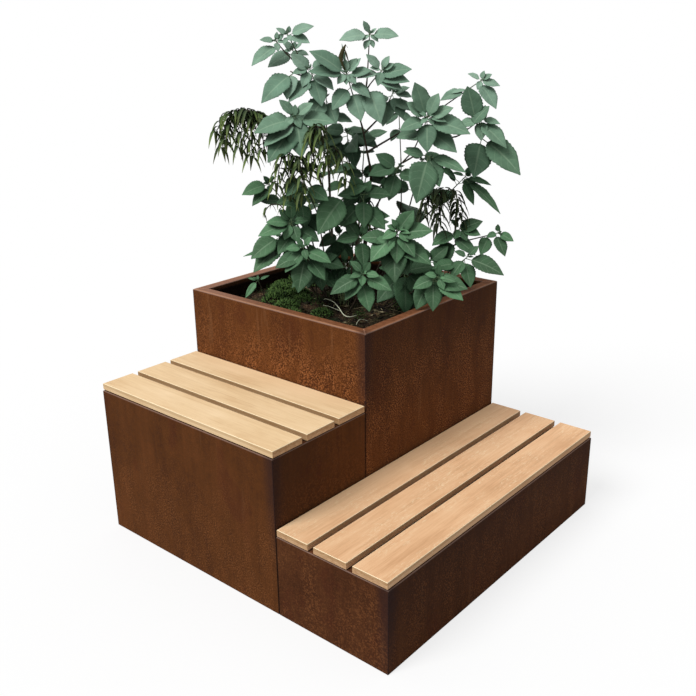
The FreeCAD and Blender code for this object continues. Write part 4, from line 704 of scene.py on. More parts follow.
# Leaves of a stem or branch: how far back from its tip each one stands, the hour that it points
# to on a clock face seen from the planter's front right corner, and its length.
ROSETTES = {
    "apex": [(2, 8.7, 104), (2, 3.1, 96), (0, 11.2, 46), (0, 1.6, 28), (0, 4.4, 40), (14, 6.8, 42),
        (14, 5.2, 36), (0, 7.6, 34)],
    "top_left": [(4, 2.4, 88), (6, 3.6, 76), (4, 10.1, 44), (6, 7.0, 34), (0, 12.4, 26),
        (0, 4.9, 30)],
    "top_outer": [(0, 9.2, 52), (14, 7.8, 116), (2, 5.6, 36), (0, 12.2, 28), (2, 1.5, 34),
        (0, 3.4, 30)],
    "top_left_side": [(10, 8.1, 102), (4, 10.6, 44), (8, 3.4, 52), (0, 4.8, 36), (0, 12.6, 28),
        (0, 1.9, 36), (0, 8.8, 30)],
    "main": [(8, 10.1, 142), (6, 9.2, 126), (48, 7.4, 100), (4, 1.4, 66), (10, 2.6, 80),
        (0, 4.6, 50), (0, 7.4, 48), (0, 11.8, 44), (30, 4.2, 90), (60, 5.4, 110), (0, 1.2, 56),
        (0, 6.0, 40), (0, 11.7, 92, 0.12)],
    "crown_left": [(4, 6.9, 64), (10, 10.4, 84), (14, 4.2, 96), (0, 2.0, 60), (0, 8.6, 60),
        (30, 7.6, 118), (24, 5.4, 110)],
    "shoulder": [(12, 7.65, 150, 0.6), (8, 6.4, 96)],
    "crown_right": [(26, 2.6, 116), (30, 3.2, 112), (34, 3.7, 100), (72, 5.3, 132), (4, 10.6, 70),
        (0, 1.0, 50), (0, 6.6, 56), (10, 8.6, 80), (0, 2.0, 44), (0, 9.4, 40)],
    "crown_low": [(0, 3.4, 66), (4, 2.3, 60), (8, 5.2, 92), (12, 8.2, 84), (0, 10.4, 40),
        (20, 6.6, 104), (26, 3.8, 88), (0, 12.8, 36)],
    "grey": [(0, 7.3, 122), (10, 5.2, 90), (0, 10.4, 70), (36, 8.1, 168), (60, 3.4, 90),
        (80, 7.8, 100), (64, 8.7, 150)],
    "left_middle": [(10, 8.5, 145), (20, 7.9, 138), (30, 7.4, 165), (12, 5.7, 130), (0, 10.6, 72),
        (14, 3.1, 125), (0, 1.8, 72), (0, 5.0, 44), (0, 7.8, 48), (0, 12.0, 38), (44, 4.4, 120),
        (52, 9.2, 120)],
    "left": [(0, 8.4, 102), (12, 7.6, 96), (4, 10.8, 38), (0, 1.0, 32), (0, 5.6, 34), (60, 3.6, 80),
        (80, 9.2, 90)],
    "left_inner": [(0, 12.0, 70), (10, 8.5, 122), (6, 9.2, 86), (8, 5.3, 70), (6, 6.9, 62),
        (0, 2.8, 60), (0, 10.6, 58), (30, 3.8, 96), (40, 7.4, 100)],
    "left_rim": [(0, 7.9, 128), (30, 7.7, 150), (6, 4.0, 74), (0, 2.0, 46), (0, 6.5, 62),
        (40, 5.2, 90), (56, 8.85, 160, 0.2)],
    "left_centre": [(0, 8.6, 90), (0, 3.2, 92), (14, 5.8, 100), (20, 10.6, 90), (34, 7.4, 105),
        (60, 4.4, 100), (0, 12.4, 50), (80, 8.8, 100)],
    "front_left": [(34, 6.45, 130), (12, 7.5, 98), (14, 3.7, 100), (0, 5.4, 42), (0, 10.9, 42),
        (0, 1.2, 46), (0, 9.0, 60), (26, 8.3, 112), (44, 4.6, 100)],
    "front_middle": [(14, 8.2, 120, 0.55), (22, 7.4, 92), (36, 5.5, 104), (18, 3.7, 104, 0.6),
        (0, 10.5, 58), (0, 3.2, 52), (0, 6.3, 42), (0, 8.6, 46), (0, 1.0, 42)],
    "front_high": [(20, 1.2, 96), (24, 2.7, 122), (0, 8.2, 62), (0, 4.6, 50), (10, 6.1, 105),
        (18, 7.6, 128), (14, 4.7, 100), (40, 6.0, 150), (0, 11.0, 42), (46, 9.2, 110),
        (56, 3.9, 150), (66, 5.0, 120), (0, 3.4, 40), (0, 9.8, 40)],
    "front_right": [(26, 6.1, 104), (20, 4.1, 116, 0.6), (0, 3.4, 58), (0, 5.2, 46), (0, 12.0, 42),
        (0, 9.5, 46), (14, 8.4, 84), (34, 3.3, 120), (50, 7.0, 100)],
    "centre": [(0, 9.0, 90), (0, 3.0, 92), (14, 6.0, 104), (20, 11.2, 90), (34, 7.6, 110),
        (44, 4.4, 112), (70, 9.0, 110), (84, 2.8, 100), (0, 12.8, 50)],
    "centre_low": [(0, 8.8, 90), (0, 3.4, 88), (12, 5.8, 96), (16, 10.8, 80), (0, 12.6, 46)],
    "low_left": [(0, 8.6, 110), (0, 3.4, 100), (6, 5.6, 105), (6, 6.7, 100), (0, 11.2, 60),
        (10, 10.0, 90), (16, 2.2, 80), (30, 7.8, 110), (34, 4.4, 100)],
    "low_centre": [(0, 9.0, 90), (0, 3.0, 90), (8, 5.9, 100), (10, 7.4, 96), (10, 4.4, 96),
        (0, 12.0, 46)],
    "low_right": [(0, 6.0, 150), (4, 4.4, 140), (8, 7.6, 140), (0, 2.6, 100), (0, 9.4, 90),
        (0, 11.6, 50)],
    "low_far": [(0, 3.4, 110), (0, 8.4, 110), (6, 5.8, 120), (0, 11.4, 50), (8, 1.6, 90),
        (10, 10.0, 80)],
    "low_back": [(0, 8.4, 110), (0, 3.4, 100), (6, 5.8, 110), (10, 10.4, 80), (10, 1.6, 80)],
    "low_middle": [(0, 8.1, 84), (0, 3.4, 56), (12, 6.4, 80), (0, 11.6, 36), (30, 4.6, 74),
        (36, 7.6, 84)],
    "rim_left": [(0, 7.3, 76, 0.36), (0, 2.2, 44, 0.36), (0, 9.6, 36, 0.36)],
    "slender": [(0, 2.6, 62), (0, 9.4, 60), (6, 4.6, 70), (10, 7.6, 66), (0, 12.2, 40),
        (64, 7.2, 60), (90, 3.4, 76)],
    "thin_left": [(0, 10.2, 60), (0, 2.4, 64), (20, 7.4, 84), (60, 4.0, 90), (110, 8.6, 92)],
    "thin_centre": [(0, 9.3, 80), (0, 3.5, 84), (12, 6.1, 96), (16, 12.6, 60), (60, 8.0, 90)],
    "thin_right": [(0, 9.0, 70), (0, 2.9, 60), (10, 5.6, 84), (44, 7.9, 92), (0, 11.6, 50)],
    "big_leaf": [(0, 7.3, 165), (4, 2.2, 80)],
    "right_low": [(16, 2.2, 96), (0, 3.5, 74), (40, 4.2, 106), (20, 8.2, 100), (0, 7.2, 46),
        (0, 5.0, 50), (0, 10.4, 46), (52, 6.6, 110)],
    "right_rim": [(8, 3.7, 142), (12, 7.4, 86), (16, 5.6, 100), (0, 1.5, 52), (0, 9.8, 50),
        (40, 8.8, 100)],
    "far_right": [(10, 5.2, 88), (0, 3.8, 62), (0, 8.5, 46), (0, 12.0, 30), (30, 7.0, 80)],
    "right_middle": [(16, 11.4, 126), (8, 12.8, 86), (10, 2.2, 90), (18, 3.5, 150), (0, 3.5, 62),
        (14, 6.05, 112), (14, 8.4, 100), (10, 10.3, 86), (0, 5.0, 38), (0, 7.6, 38), (0, 9.8, 36),
        (50, 4.1, 138), (60, 8.6, 90)],
    "right_outer": [(18, 4.4, 134), (4, 6.1, 76), (4, 3.4, 66), (26, 11.5, 122), (16, 8.6, 74),
        (0, 9.8, 40), (0, 12.5, 44), (50, 1.4, 90), (60, 9.0, 90)],
    "right_hanging": [(0, 6.5, 142, 0.8), (2, 4.42, 184, 0.62)],
    "right_top": [(12, 4.9, 114), (6, 3.4, 70), (0, 9.8, 52), (0, 12.6, 32), (0, 7.0, 38),
        (58, 8.6, 64, 0.35), (66, 8.4, 100, 0.5), (70, 5.2, 100), (0, 2.0, 40)],
    "right_under": [(10, 4.42, 180, 0.3), (4, 3.5, 96, 0.34), (0, 9.5, 50, 0.4),
        (16, 5.2, 100, 0.4), (30, 10.2, 96, 0.3), (42, 10.9, 80, 0.3), (36, 2.6, 84, 0.4),
        (60, 7.6, 90), (0, 1.2, 40)],
    "hanging": [(0, 6.6, 168), (2, 5.3, 112), (8, 9.4, 80), (4, 3.7, 140, 0.4)],
    "inner_left": [(0, 3.8, 120), (10, 8.4, 120), (20, 5.5, 110), (30, 7.2, 112), (46, 2.5, 100),
        (60, 9.5, 110)],
    "inner_right": [(0, 8.6, 112), (10, 10.2, 90), (20, 6.6, 104), (30, 3.2, 96)],
}
# Stems at the back carry opposite pairs, each a quarter turn from the next: the length of the
# largest leaves, the count of pairs, the distance between two, and the turn of the last.
PAIRS = {
    "back": (150, 4, 55, 20),
    "back_right": (135, 4, 55, 65),
    "back_left": (130, 4, 50, 40),
    "back_low": (130, 3, 34, 25),
    "inner_left": (120, 2, 40, 10),
}
# Tassels are tufts of narrow hanging leaves along drooping twigs. Each twig has the branch that it
# leaves and at which share, the length and the count of its leaves, and its points.
TASSELS = {
    "left": [
        ("left_middle", 0.86, 84, 32, [(-170, -305, 632), (-230, -330, 613), (-258, -352, 550)]),
        ("left_middle", 0.90, 84, 32, [(-156, -305, 630), (-195, -326, 620), (-217, -344, 525)]),
        ("left_middle", 0.88, 84, 32, [(-139, -303, 627), (-156, -318, 615), (-168, -329, 502)]),
        ("left_middle", 0.82, 84, 32, [(-129, -295, 615), (-138, -303, 584), (-139, -304, 475)]),
        ("left_middle", 0.78, 76, 26, [(-105, -300, 604), (-97, -294, 573), (-94, -292, 496)]),
        ("left_middle", 0.92, 84, 32, [(-212, -288, 617), (-256, -300, 583), (-272, -314, 492)]),
    ],
    "middle": [
        ("left_middle", 0.62, 84, 28, [(90, -239, 591), (117, -242, 568), (125, -236, 463)]),
        ("left_middle", 0.56, 84, 28, [(66, -233, 577), (61, -238, 540), (64, -235, 440)]),
        ("grey", 0.55, 80, 26, [(82, -167, 515), (106, -146, 496), (120, -134, 400)]),
        ("thin_centre", 0.82, 80, 26, [(62, 26, 345), (68, 32, 324), (73, 36, 212)]),
    ],
    "lower": [
        ("left_middle", 0.40, 84, 26, [(2, -288, 503), (-13, -301, 478), (-23, -310, 396)]),
        ("left_middle", 0.44, 84, 28, [(44, -278, 493), (51, -273, 461), (54, -270, 366)]),
        ("left_middle", 0.34, 80, 26, [(-3, -266, 462), (-4, -267, 437), (-6, -269, 353)]),
        ("left_inner", 0.90, 46, 8, [(-86, -232, 319), (-114, -256, 319), (-133, -272, 285)]),
    ],
    "right": [
        ("right_under", 0.72, 84, 28, [(285, 166, 355), (257, 142, 335), (240, 127, 260)]),
        ("right_under", 0.76, 84, 32, [(307, 158, 359), (297, 150, 332), (294, 147, 228)]),
        ("right_under", 0.80, 84, 28, [(295, 200, 352), (316, 218, 338), (329, 229, 240)]),
    ],
}
# Cushions of moss on the soil: X, Y and the radius of each. A share of the radius is sunk in.
MOSS = [
    (-250, -75, 62), (-195, -160, 58), (-310, -15, 50), (-160, -85, 54), (-330, 75, 48),
    (-225, 50, 60), (-95, -215, 55), (-20, -265, 46), (-102, -125, 42), (60, -200, 42),
    (135, 235, 50), (50, 300, 54),
]
MOSS_SUNK = 0.55
# Leaflets for each millimetre of a cushion's radius, how far out they go, where they are rooted
# and how long they are as shares of that radius, their width as a share of their length, how they
# rise, and how deep in the soil a root may be.
MOSS_LEAFLETS = 9
MOSS_SPREAD = 0.98
MOSS_ROOTS = (0.84, 0.93)
MOSS_SIZES = (0.12, 0.36)
MOSS_WIDTH = 0.3
MOSS_RISE = 0.6
MOSS_DEPTH = 4
# A leaflet's tilt, its widest place, the height of its ridge as a share of its width, and its
# tones at its foot, middle and tip.
LEAFLET_TILT = 0.3
LEAFLET_MIDDLE = 0.5
LEAFLET_RIDGE = 0.5
LEAFLET_TONES = (0.1, 0.6, 1.0)
# Weeds in patches: X, Y, the patch's radius and how many fronds it has. The tuft of grass has the
# same four values.
WEEDS = [
    (-300, -80, 55, 26), (-215, -110, 50, 26), (-120, -150, 45, 18), (-60, -60, 40, 10),
    (70, -190, 40, 14), (170, -150, 45, 16), (230, 20, 50, 16), (-20, -120, 40, 14),
]
GRASS = (64, -84, 18, 16)
ROOT_DEPTH = 2
GRASS_DEPTH = 3
# A frond's pairs of leaflets, its size, how it climbs and falls back, how far it reaches and
# bends over, and its leaflets' length, which shrinks to the tip, width, lean and swing.
FROND_STEPS = 6
FROND_SIZES = (14, 44)
FROND_CLIMB = 1.4
FROND_FALL = 0.7
FROND_REACH = 0.8
FROND_BEND = 1.5
FROND_LEAFLET = 0.3
FROND_TAPER = 1.15
FROND_WIDTH = 0.28
FROND_LEAN = 0.6
FROND_SWING = 0.3
# A stalk of grass: its height, lean, bend, the places of its rings and their radii, and the rings
# of its white head, as heights over the stalk's end and radii.
GRASS_SIZES = (105, 150)
GRASS_LEAN = 0.2
GRASS_BEND = 14
GRASS_RINGS = (0.0, 0.35, 0.7, 1.0)
GRASS_RADII = (1.3, 1.2, 1.0, 0.8)
GRASS_TONES = (0.8, 0.9)
HEAD_RINGS = (-1, 3, 7)
HEAD_RADII = (1.0, 3.0, 0.8)
# Dead leaves and twigs on the soil: how many, their sizes and widths, how they tilt and lie over
# the soil, a twig's bend, radii and second tone, and their distance from the walls.
DEAD_LEAVES = 620
DEAD_LEAF_SIZES = (8, 32)
DEAD_LEAF_WIDTHS = (0.12, 0.34)
TWIGS = 90
TWIG_SIZES = (25, 70)
TWIG_BEND = 8
TWIG_LIFT = 5
TWIG_RADII = (1.3, 1.0, 0.6)
TWIG_PLACE = 0.3
LITTER_TILT = (-0.1, 0.35)
LITTER_LIFT = (1, 7)
LITTER_EDGE = 14
# Thin pale stems that lie curled over the soil: points as x, y and height from the rim; radius.
TENDRILS = [
    ([(-22, -98, -38), (8, -125, -20), (59, -139, -18), (117, -176, -21), (174, -218, -26),
      (208, -228, -24), (200, -184, -30)], 1.6),
    ([(22, -152, -36), (62, -170, -27), (110, -160, -38)], 1.0),
    ([(262, -258, -30), (246, -224, -22), (252, -186, -38)], 1.1),
]
# A withered leaf, curled on the main stem's tip: points as above, each with its radius, and the
# leaf's tones. Pieces that are all alike have even tones.
WITHERED = [
    [(69, -66, 733, 1.5), (62, -78, 764, 3.6), (59, -82, 786, 7.4), (64, -77, 806, 6.0),
     (71, -70, 822, 2.4), (76, -67, 813, 0.8)],
    [(67, -74, 813, 1.2), (72, -70, 794, 3.2), (78, -64, 768, 0.9)],
]
WITHERED_TONES = (0.58, 0.5)
EVEN_TONES = (0.5, 0.5)
# The soil's surface: how many strips each way, and its lumps and crumbs, each with a height, a
# scale, and how noise adds finer detail: its falling share, its step up and its count.
SOIL_GRID = (120, 114)
SOIL_RELIEF = [(7, 0.018, 0.7, 2.1, 3), (5, 0.075, 0.6, 2.2, 4)]

# Stems: thickness at a tip, at a branch's foot and at a tassel's twig's foot, the sides of their
# rings, and the share of grey in their bark, which some stems have more of.
TWIG_END = 3
BRANCH_FOOT = 7
TWIG_FOOT = 4
STEM_SIDES = 9
BRANCH_SIDES = 7
TWIG_SIDES = 6
RIB_SIDES = 5
GRASS_SIDES = 4
STEM_GREY = (0.0, 0.2)
BRANCH_GREY = (0.0, 0.25)
TWIG_GREY = 0.1
GREY_STEMS = {"grey": 0.85, "left_inner": 0.35, "back": 0.4, "front_high": 0.25}
# A drawn stem has its bends eased over a stretch, a ring at least every step, a knot at each
# bend, a rough surface and a flare at its foot.
BEND_REACH = 26
BEND_SHARE = 0.45
BEND_STEPS = 4
STEM_STEP = 22
TENDRIL_STEP = 8
KNOT_SIZE = 0.22
KNOT_REACH = 12
ROUGH_SIZE = 0.10
ROUGH_SCALE = 0.06
FLARE_SIZE = 0.5
FLARE_REACH = 25

# Broad leaves: a blade's width as a share of its length, the share that is bare stalk, the fold
# at the midrib, which is steepest there, the teeth, and from which length leaves have them.
LEAF_WIDTH = 0.74
STALK_SHARE = 0.14
LEAF_FOLD = 0.15
FOLD_RISE = 1.55
FOLD_EASE = 0.55
TOOTH = 0.06
TOOTHED_FROM = 40
# Waves along a blade's edge, their height as a share of the leaf's length, and the blade's twist.
WAVES = (2.0, 3.2)
WAVE_HEIGHTS = (0.006, 0.016)
TWIST = 0.1
# The tube along a leaf's stalk and midrib: places, its radius, and how it thins and sinks in.
RIB_PLACES = (0.0, 0.05, 0.1, STALK_SHARE, 0.3, 0.5, 0.7, 0.88)
RIB_RADIUS = 0.35
RIB_GROWTH = 140
RIB_TAPER = 1.15
RIB_SUNK = 0.7
# Opposite pairs: how much young leaves near the tip rise, their size, how far young and old
# leaves droop, and how level all of them stand.
YOUNG_RISE = 58
YOUNG_SIZE = 0.5
YOUNG_DROOP = 0.12
OLD_DROOP = 0.42
LEVELLED = 0.7
# The way that leaves look: to the light, and a little out from the shrub's middle.
LIGHT_SIDE = Vector((0.36, -0.46, 0.7))
LOOK_OUT = 0.35
SHRUB_MIDDLE = (0, 60)
# The clock face's directions, seen from the front right corner, and how leaves stand on it.
ACROSS = Vector((0.76, 0.65, 0))
TOWARD = Vector((0.65, -0.76, 0))
UPRIGHT = Vector((0, 0, 1))
HOUR_TURN = 30
LEAN = 0.25
LEAN_SWING = 0.35
ROSETTE_WIDTH = 0.68
ROSETTE_DROOP = 0.10
FULL_LENGTH = 150
LOOK_UP = 0.75
LOOK_FRONT = 0.5
LOOK_ASIDE = 0.22
# The bud at a stem's tip: its leaves, their length and shares of it, width and droop, the first
# one's turn and their swing, and how far they stand out and up.
BUD_LEAVES = 4
BUD_LENGTH = 110
BUD_SHARES = (0.13, 0.23)
BUD_WIDTH = 0.62
BUD_DROOP = 0.05
BUD_TURN = 45
BUD_SWING = 15
BUD_OUT = 0.75
BUD_UP = 0.8
BUD_GUIDE = Vector((0.2, 0.1, 1))
# A quarter turn in degrees: from one leaf of a bud, or one pair of leaves, to the next.
QUARTER = 90
# Tassels: the share of a twig with leaves, the turn from leaf to leaf, and each leaf's width,
# fold, rise, reach, droop, uneven length and sideways curl.
TASSEL_SHARE = 0.6
LEAF_TURN = 137.5
TASSEL_WIDTH = 0.16
TASSEL_FOLD = 0.5
TASSEL_RISE = 0.35
TASSEL_REACH = 0.55
TASSEL_DROOP = 0.85
TASSEL_UNEVEN = 0.2
TASSEL_WAVES = 3
TASSEL_CURL = 0.10
# Tones: an old leaf's own part and a young leaf's, how the tassels' leaves favour light tones, and
# the height over the rim where leaves start to turn to the high colours, which are partly painted
# light, and over which height.
OWN_TONE = 0.55
YOUNG_TONE = 0.45
TASSEL_TONE = 0.7
TONE_FROM = 375
TONE_OVER = 350
# How thick the two kinds of blades are.
LEAF_SHEET = 0.6
NARROW_SHEET = 0.5

# Half the width of a blade, as a share of its width, at places from its foot to its tip.
BLADE = [
    (0.0, 0.012), (0.03, 0.13), (0.08, 0.25), (0.15, 0.36), (0.23, 0.43), (0.32, 0.445),
    (0.42, 0.445), (0.52, 0.425), (0.62, 0.385), (0.71, 0.315), (0.79, 0.235), (0.87, 0.15),
    (0.94, 0.07), (1.0, 0.006),
]
NARROW_BLADE = [
    (0.0, 0.05), (0.1, 0.3), (0.3, 0.5), (0.5, 0.48), (0.7, 0.36), (0.87, 0.18), (1.0, 0.01),
]
COLUMNS = (-1.0, -0.72, -0.4, -0.12, 0.12, 0.4, 0.72, 1.0)
NARROW_COLUMNS = (-1.0, 0.0, 1.0)
# A direction that no stem follows: a tube's first ring is turned by it.
ODD_WAY = Vector((0.37, 0.93, 0.11))


class Skin:
    """Points and faces collected for one mesh, with a flat place and a tone for each point."""

    def __init__(self):
        self.points, self.faces, self.slots = [], [], []
        self.flat, self.tones = [], []

    def add_grid(self, rows, flat_rows, tones, slot=0, round_way=False):
        """A grid of faces over rows of points. round_way closes each row into a ring."""
        first = len(self.points)
        wide = len(rows[0])
        for row, flat_row in zip(rows, flat_rows):
            self.points += row
            self.flat += flat_row
            self.tones += [tones] * wide
        steps = wide if round_way else wide - 1
        for row in range(len(rows) - 1):
            for column in range(steps):
                here = first + row * wide + column
                side = first + row * wide + (column + 1) % wide
                self.add_face((here, side, side + wide, here + wide), slot)
        return first

    def add_face(self, corners, slot=0):
        self.faces.append(tuple(corners))
        self.slots.append(slot)

    def build(self, name, *materials):
        """The piece, with its materials, its flat places as blade and its tones as tone."""
        mesh = bpy.data.meshes.new(name)
        mesh.from_pydata([tuple(point) for point in self.points], [], self.faces)
        for material in materials:
            mesh.materials.append(material)
        corners = [loop.vertex_index for loop in mesh.loops]
        layer = mesh.uv_layers.new(name="blade")
        layer.data.foreach_set("uv", [n for c in corners for n in self.flat[c]])
        tone = mesh.attributes.new("tone", "FLOAT_COLOR", "CORNER")
        tone.data.foreach_set("color", [n for c in corners for n in (*self.tones[c], 0.0, 1.0)])
        mesh.polygons.foreach_set("material_index", self.slots)
        mesh.polygons.foreach_set("use_smooth", [True] * len(self.faces))
        mesh.validate()
        mesh.update()
        return placed(name, mesh)


def tube(skin, centres, radii, sides, tones, slot=0):
    """A closed round tube through the centres, turned smoothly from ring to ring."""
    rows, flat = [], []
    last = len(centres) - 1
    across = None
    for number, centre in enumerate(centres):
        heading = (centres[min(number + 1, last)] - centres[max(number - 1, 0)]).normalized()
        if across is None:
            across = heading.cross(ODD_WAY).normalized()
        across = (across - heading * across.dot(heading)).normalized()
        other = heading.cross(across)
        row = []
        for corner in range(sides):
            turn = 2 * math.pi * corner / sides
            reach = across * math.cos(turn) + other * math.sin(turn)
            row.append(centre + reach * radii[number])
        rows.append(row)
        flat.append([(corner / sides, number / last) for corner in range(sides)])
    first = skin.add_grid(rows, flat, tones, slot, round_way=True)
    skin.add_face(reversed(range(first, first + sides)), slot)
    end = first + last * sides
    skin.add_face(range(end, end + sides), slot)


def tube_mm(skin, centres, radii, sides, tones, slot=0):
    """The same tube from sizes in millimetres."""
    points = [centre * MM for centre in centres]
    tube(skin, points, [radius * MM for radius in radii], sides, tones, slot)


def leaflet(skin, root, aim, tall, wide):
    """One tiny folded leaf: four faces round a ridge."""
    across = aim.cross(Vector((either_way(1), either_way(1), LEAFLET_TILT))).normalized()
    back = aim.cross(across)
    middle = root + aim * tall * LEAFLET_MIDDLE
    corners = [root, middle - across * wide, root + aim * tall, middle + across * wide]
    corners.append(middle + back * wide * LEAFLET_RIDGE)
    first = len(skin.points)
    skin.points += [corner * MM for corner in corners]
    skin.flat += [(0.5, 0.0), (0.0, 0.5), (0.5, 1.0), (1.0, 0.5), (0.5, 0.5)]
    own = random.random()
    low, half, high = LEAFLET_TONES
    skin.tones += [(own, tone) for tone in (low, half, high, half, half)]
    for corner in range(4):
        skin.add_face((first + corner, first + (corner + 1) % 4, first + 4))
    skin.add_face((first + 3, first + 2, first + 1, first))


def finish_piece(piece, slot, *nodes):
    """Puts a piece on the one body, in place of the solids that it draws. Its slot is not used."""
    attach(piece, "root")
    if nodes:
        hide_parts(*nodes)


def thicken(piece, thickness, under_slot):
    """Gives a thin blade its thickness, with another material underneath."""
    modifier = piece.modifiers.new("thickness", "SOLIDIFY")
    modifier.thickness = thickness * MM
    modifier.offset = -1
    modifier.material_offset = under_slot
    modifier.use_even_offset = False


def either_way(reach):
    return random.uniform(-reach, reach)


def any_turn():
    return random.uniform(0, 2 * math.pi)


def way_round(turn, rise):
    """A direction at a turn about the upright axis, with a rise."""
    return Vector((math.cos(turn), math.sin(turn), rise))


def soil_height(x, y):
    """The height of the mounded soil at a place, in millimetres."""
    crown = PLANTER_HEIGHT - SOIL_BELOW_RIM
    return crown - SOIL_RADIUS + math.sqrt(SOIL_RADIUS**2 - x**2 - y**2)


def on_soil(x, y, rise):
    """A point over the soil's surface, or under it where the rise is negative."""
    return Vector((x, y, soil_height(x, y) + rise))


def route_of(points):
    """The points in the frame, with the first one on the soil where its height is None."""
    route = []
    for x, y, height in points:
        z = soil_height(x, y) if height is None else PLANTER_HEIGHT + height
        route.append(Vector((x, y, z)))
    return route


def route_length(route):
    return sum((after - before).length for before, after in zip(route, route[1:]))


def spot_on(route, distance):
    """The point at a distance from the route's start, and the direction there."""
    runs = [after - before for before, after in zip(route, route[1:])]
    number = 0
    while number < len(runs) - 1 and distance > runs[number].length:
        distance -= runs[number].length
        number += 1
    run = runs[number]
    heading = run / run.length
    return route[number] + heading * min(distance, run.length), heading


def thickness_at(route, foot, distance):
    """A stem's thickness, which falls evenly from its foot to its tip."""
    return foot + (TWIG_END - foot) * distance / route_length(route)


def outward(point):
    """The level direction from the shrub's middle to a point."""
    level = Vector((point.x - SHRUB_MIDDLE[0], point.y - SHRUB_MIDDLE[1], 0))
    return level.normalized() if level.length > 1 else Vector((0, -1, 0))


def round_stem(heading, guide, degrees):
    """A direction square to a stem, turned about it."""
    first = heading.cross(guide).normalized()
    second = heading.cross(first)
    angle = math.radians(degrees)
    return first * math.cos(angle) + second * math.sin(angle)


def height_tone(point):
    """0 for a leaf low in the shrub and 1 for one at its top: partly its own tone, partly painted
    light.
    """
    share = (point.z - PLANTER_HEIGHT - TONE_FROM) / TONE_OVER
    return min(max(share, 0.0), 1.0)


def blade_frame(start, heading, side, length, droop, share):
    """The middle of a leaf at a share of its length, and the way its upper face looks there."""
    down = Vector((0, 0, -1))
    middle = start + heading * (length * share) + down * (droop * length * share**2)
    slope = (heading + down * (2 * droop * share)).normalized()
    return middle, side.cross(slope).normalized()


def with_teeth(stations):
    """The same outline with a notch between each two stations: place, half width and edge."""
    toothed = []
    for (place, half), (next_place, next_half) in zip(stations, stations[1:]):
        middle = (half + next_half) / 2
        toothed.append((place, half, half))
        toothed.append(((place + 2 * next_place) / 3, middle, middle * (1 - TOOTH)))
    return toothed + [(*stations[-1], stations[-1][1])]


def add_leaf(skin, start, heading, facing, length, width, droop):
    """One broad leaf: its folded, wavy, toothed blade, and the line of its stalk and midrib."""
    side = heading.cross(facing).normalized()
    youth = max(0.0, 1 - length / FULL_LENGTH)
    tones = (OWN_TONE * random.random() + YOUNG_TONE * youth, height_tone(start))
    phase, waves = any_turn(), random.uniform(*WAVES)
    wave_height = length * random.uniform(*WAVE_HEIGHTS)
    twist = either_way(TWIST)
    rows, flat = [], []
    stations = with_teeth(BLADE) if length > TOOTHED_FROM else [(*pair, pair[1]) for pair in BLADE]
    for place, half, edge in stations:
        share = STALK_SHARE + (1 - STALK_SHARE) * place
        middle, normal = blade_frame(start, heading, side, length, droop, share)
        reach = half * width
        row = []
        for column in COLUMNS:
            out = column * (edge * width if abs(column) == 1 else reach)
            lift = reach * LEAF_FOLD * (FOLD_RISE * abs(column) - FOLD_EASE * column**2)
            wave = math.sin(phase + waves * 2 * math.pi * place + column)
            lift += wave_height * 2 * half * column**2 * wave
            lift += twist * column * reach * place
            row.append((middle + side * out + normal * lift) * MM)
        rows.append(row)
        flat.append([(0.5 + 0.5 * column, place) for column in COLUMNS])
    skin.add_grid(rows, flat, tones)
    centres, radii = [], []
    thick = RIB_RADIUS + length / RIB_GROWTH
    for share in RIB_PLACES:
        middle, normal = blade_frame(start, heading, side, length, droop, share)
        sunk = min(share / STALK_SHARE, 1) * thick * RIB_SUNK
        centres.append((middle - normal * sunk) * MM)
        radii.append(thick * (RIB_TAPER - share) * MM)
    return centres, radii, tones


def paired_leaves(skin, stalks, route, foot, length, pairs, spacing, last_turn):
    """Opposite pairs from the tip back along a stem, each pair a quarter turn from the next."""
    for pair in range(pairs):
        distance = route_length(route) - pair * spacing
        point, heading = spot_on(route, distance)
        age = (pair + 1) / pairs
        rise = math.radians(YOUNG_RISE * (1 - age))
        for quarters in (pair, pair + 2):
            turn = last_turn + QUARTER * quarters
            spread = round_stem(heading, UPRIGHT, turn)
            start = point + spread * (thickness_at(route, foot, distance) / 2)
            out = spread * math.cos(rise) + heading * math.sin(rise)
            out = Vector((out.x, out.y, out.z * LEVELLED)).normalized()
            facing = LIGHT_SIDE + outward(start) * LOOK_OUT
            grown = length * (YOUNG_SIZE + (1 - YOUNG_SIZE) * age)
            droop = YOUNG_DROOP + (OLD_DROOP - YOUNG_DROOP) * age
            stalks.append(add_leaf(skin, start, out, facing, grown, grown * LEAF_WIDTH, droop))


def rosette(skin, stalks, route, foot, leaves):
    """Leaves that point to their hours on a clock face seen from the front right corner."""
    for number, (back, hour, length, *width) in enumerate(leaves):
        distance = route_length(route) - back
        point, heading = spot_on(route, distance)
        turn = math.radians(HOUR_TURN * hour)
        upright, aside = math.cos(turn), math.sin(turn)
        lean = LEAN - LEAN_SWING * upright
        way = (ACROSS * aside + UPRIGHT * upright + TOWARD * lean).normalized()
        spread = (way - heading * way.dot(heading)).normalized()
        start = point + spread * (thickness_at(route, foot, distance) / 2)
        droop = ROSETTE_DROOP + ROSETTE_DROOP * length / FULL_LENGTH
        facing = UPRIGHT * LOOK_UP + TOWARD * LOOK_FRONT + ACROSS * (LOOK_ASIDE * (-1) ** number)
        wide = length * (width[0] if width else ROSETTE_WIDTH)
        reach = way + UPRIGHT * droop
        stalks.append(add_leaf(skin, start, reach, facing, length, wide, droop))


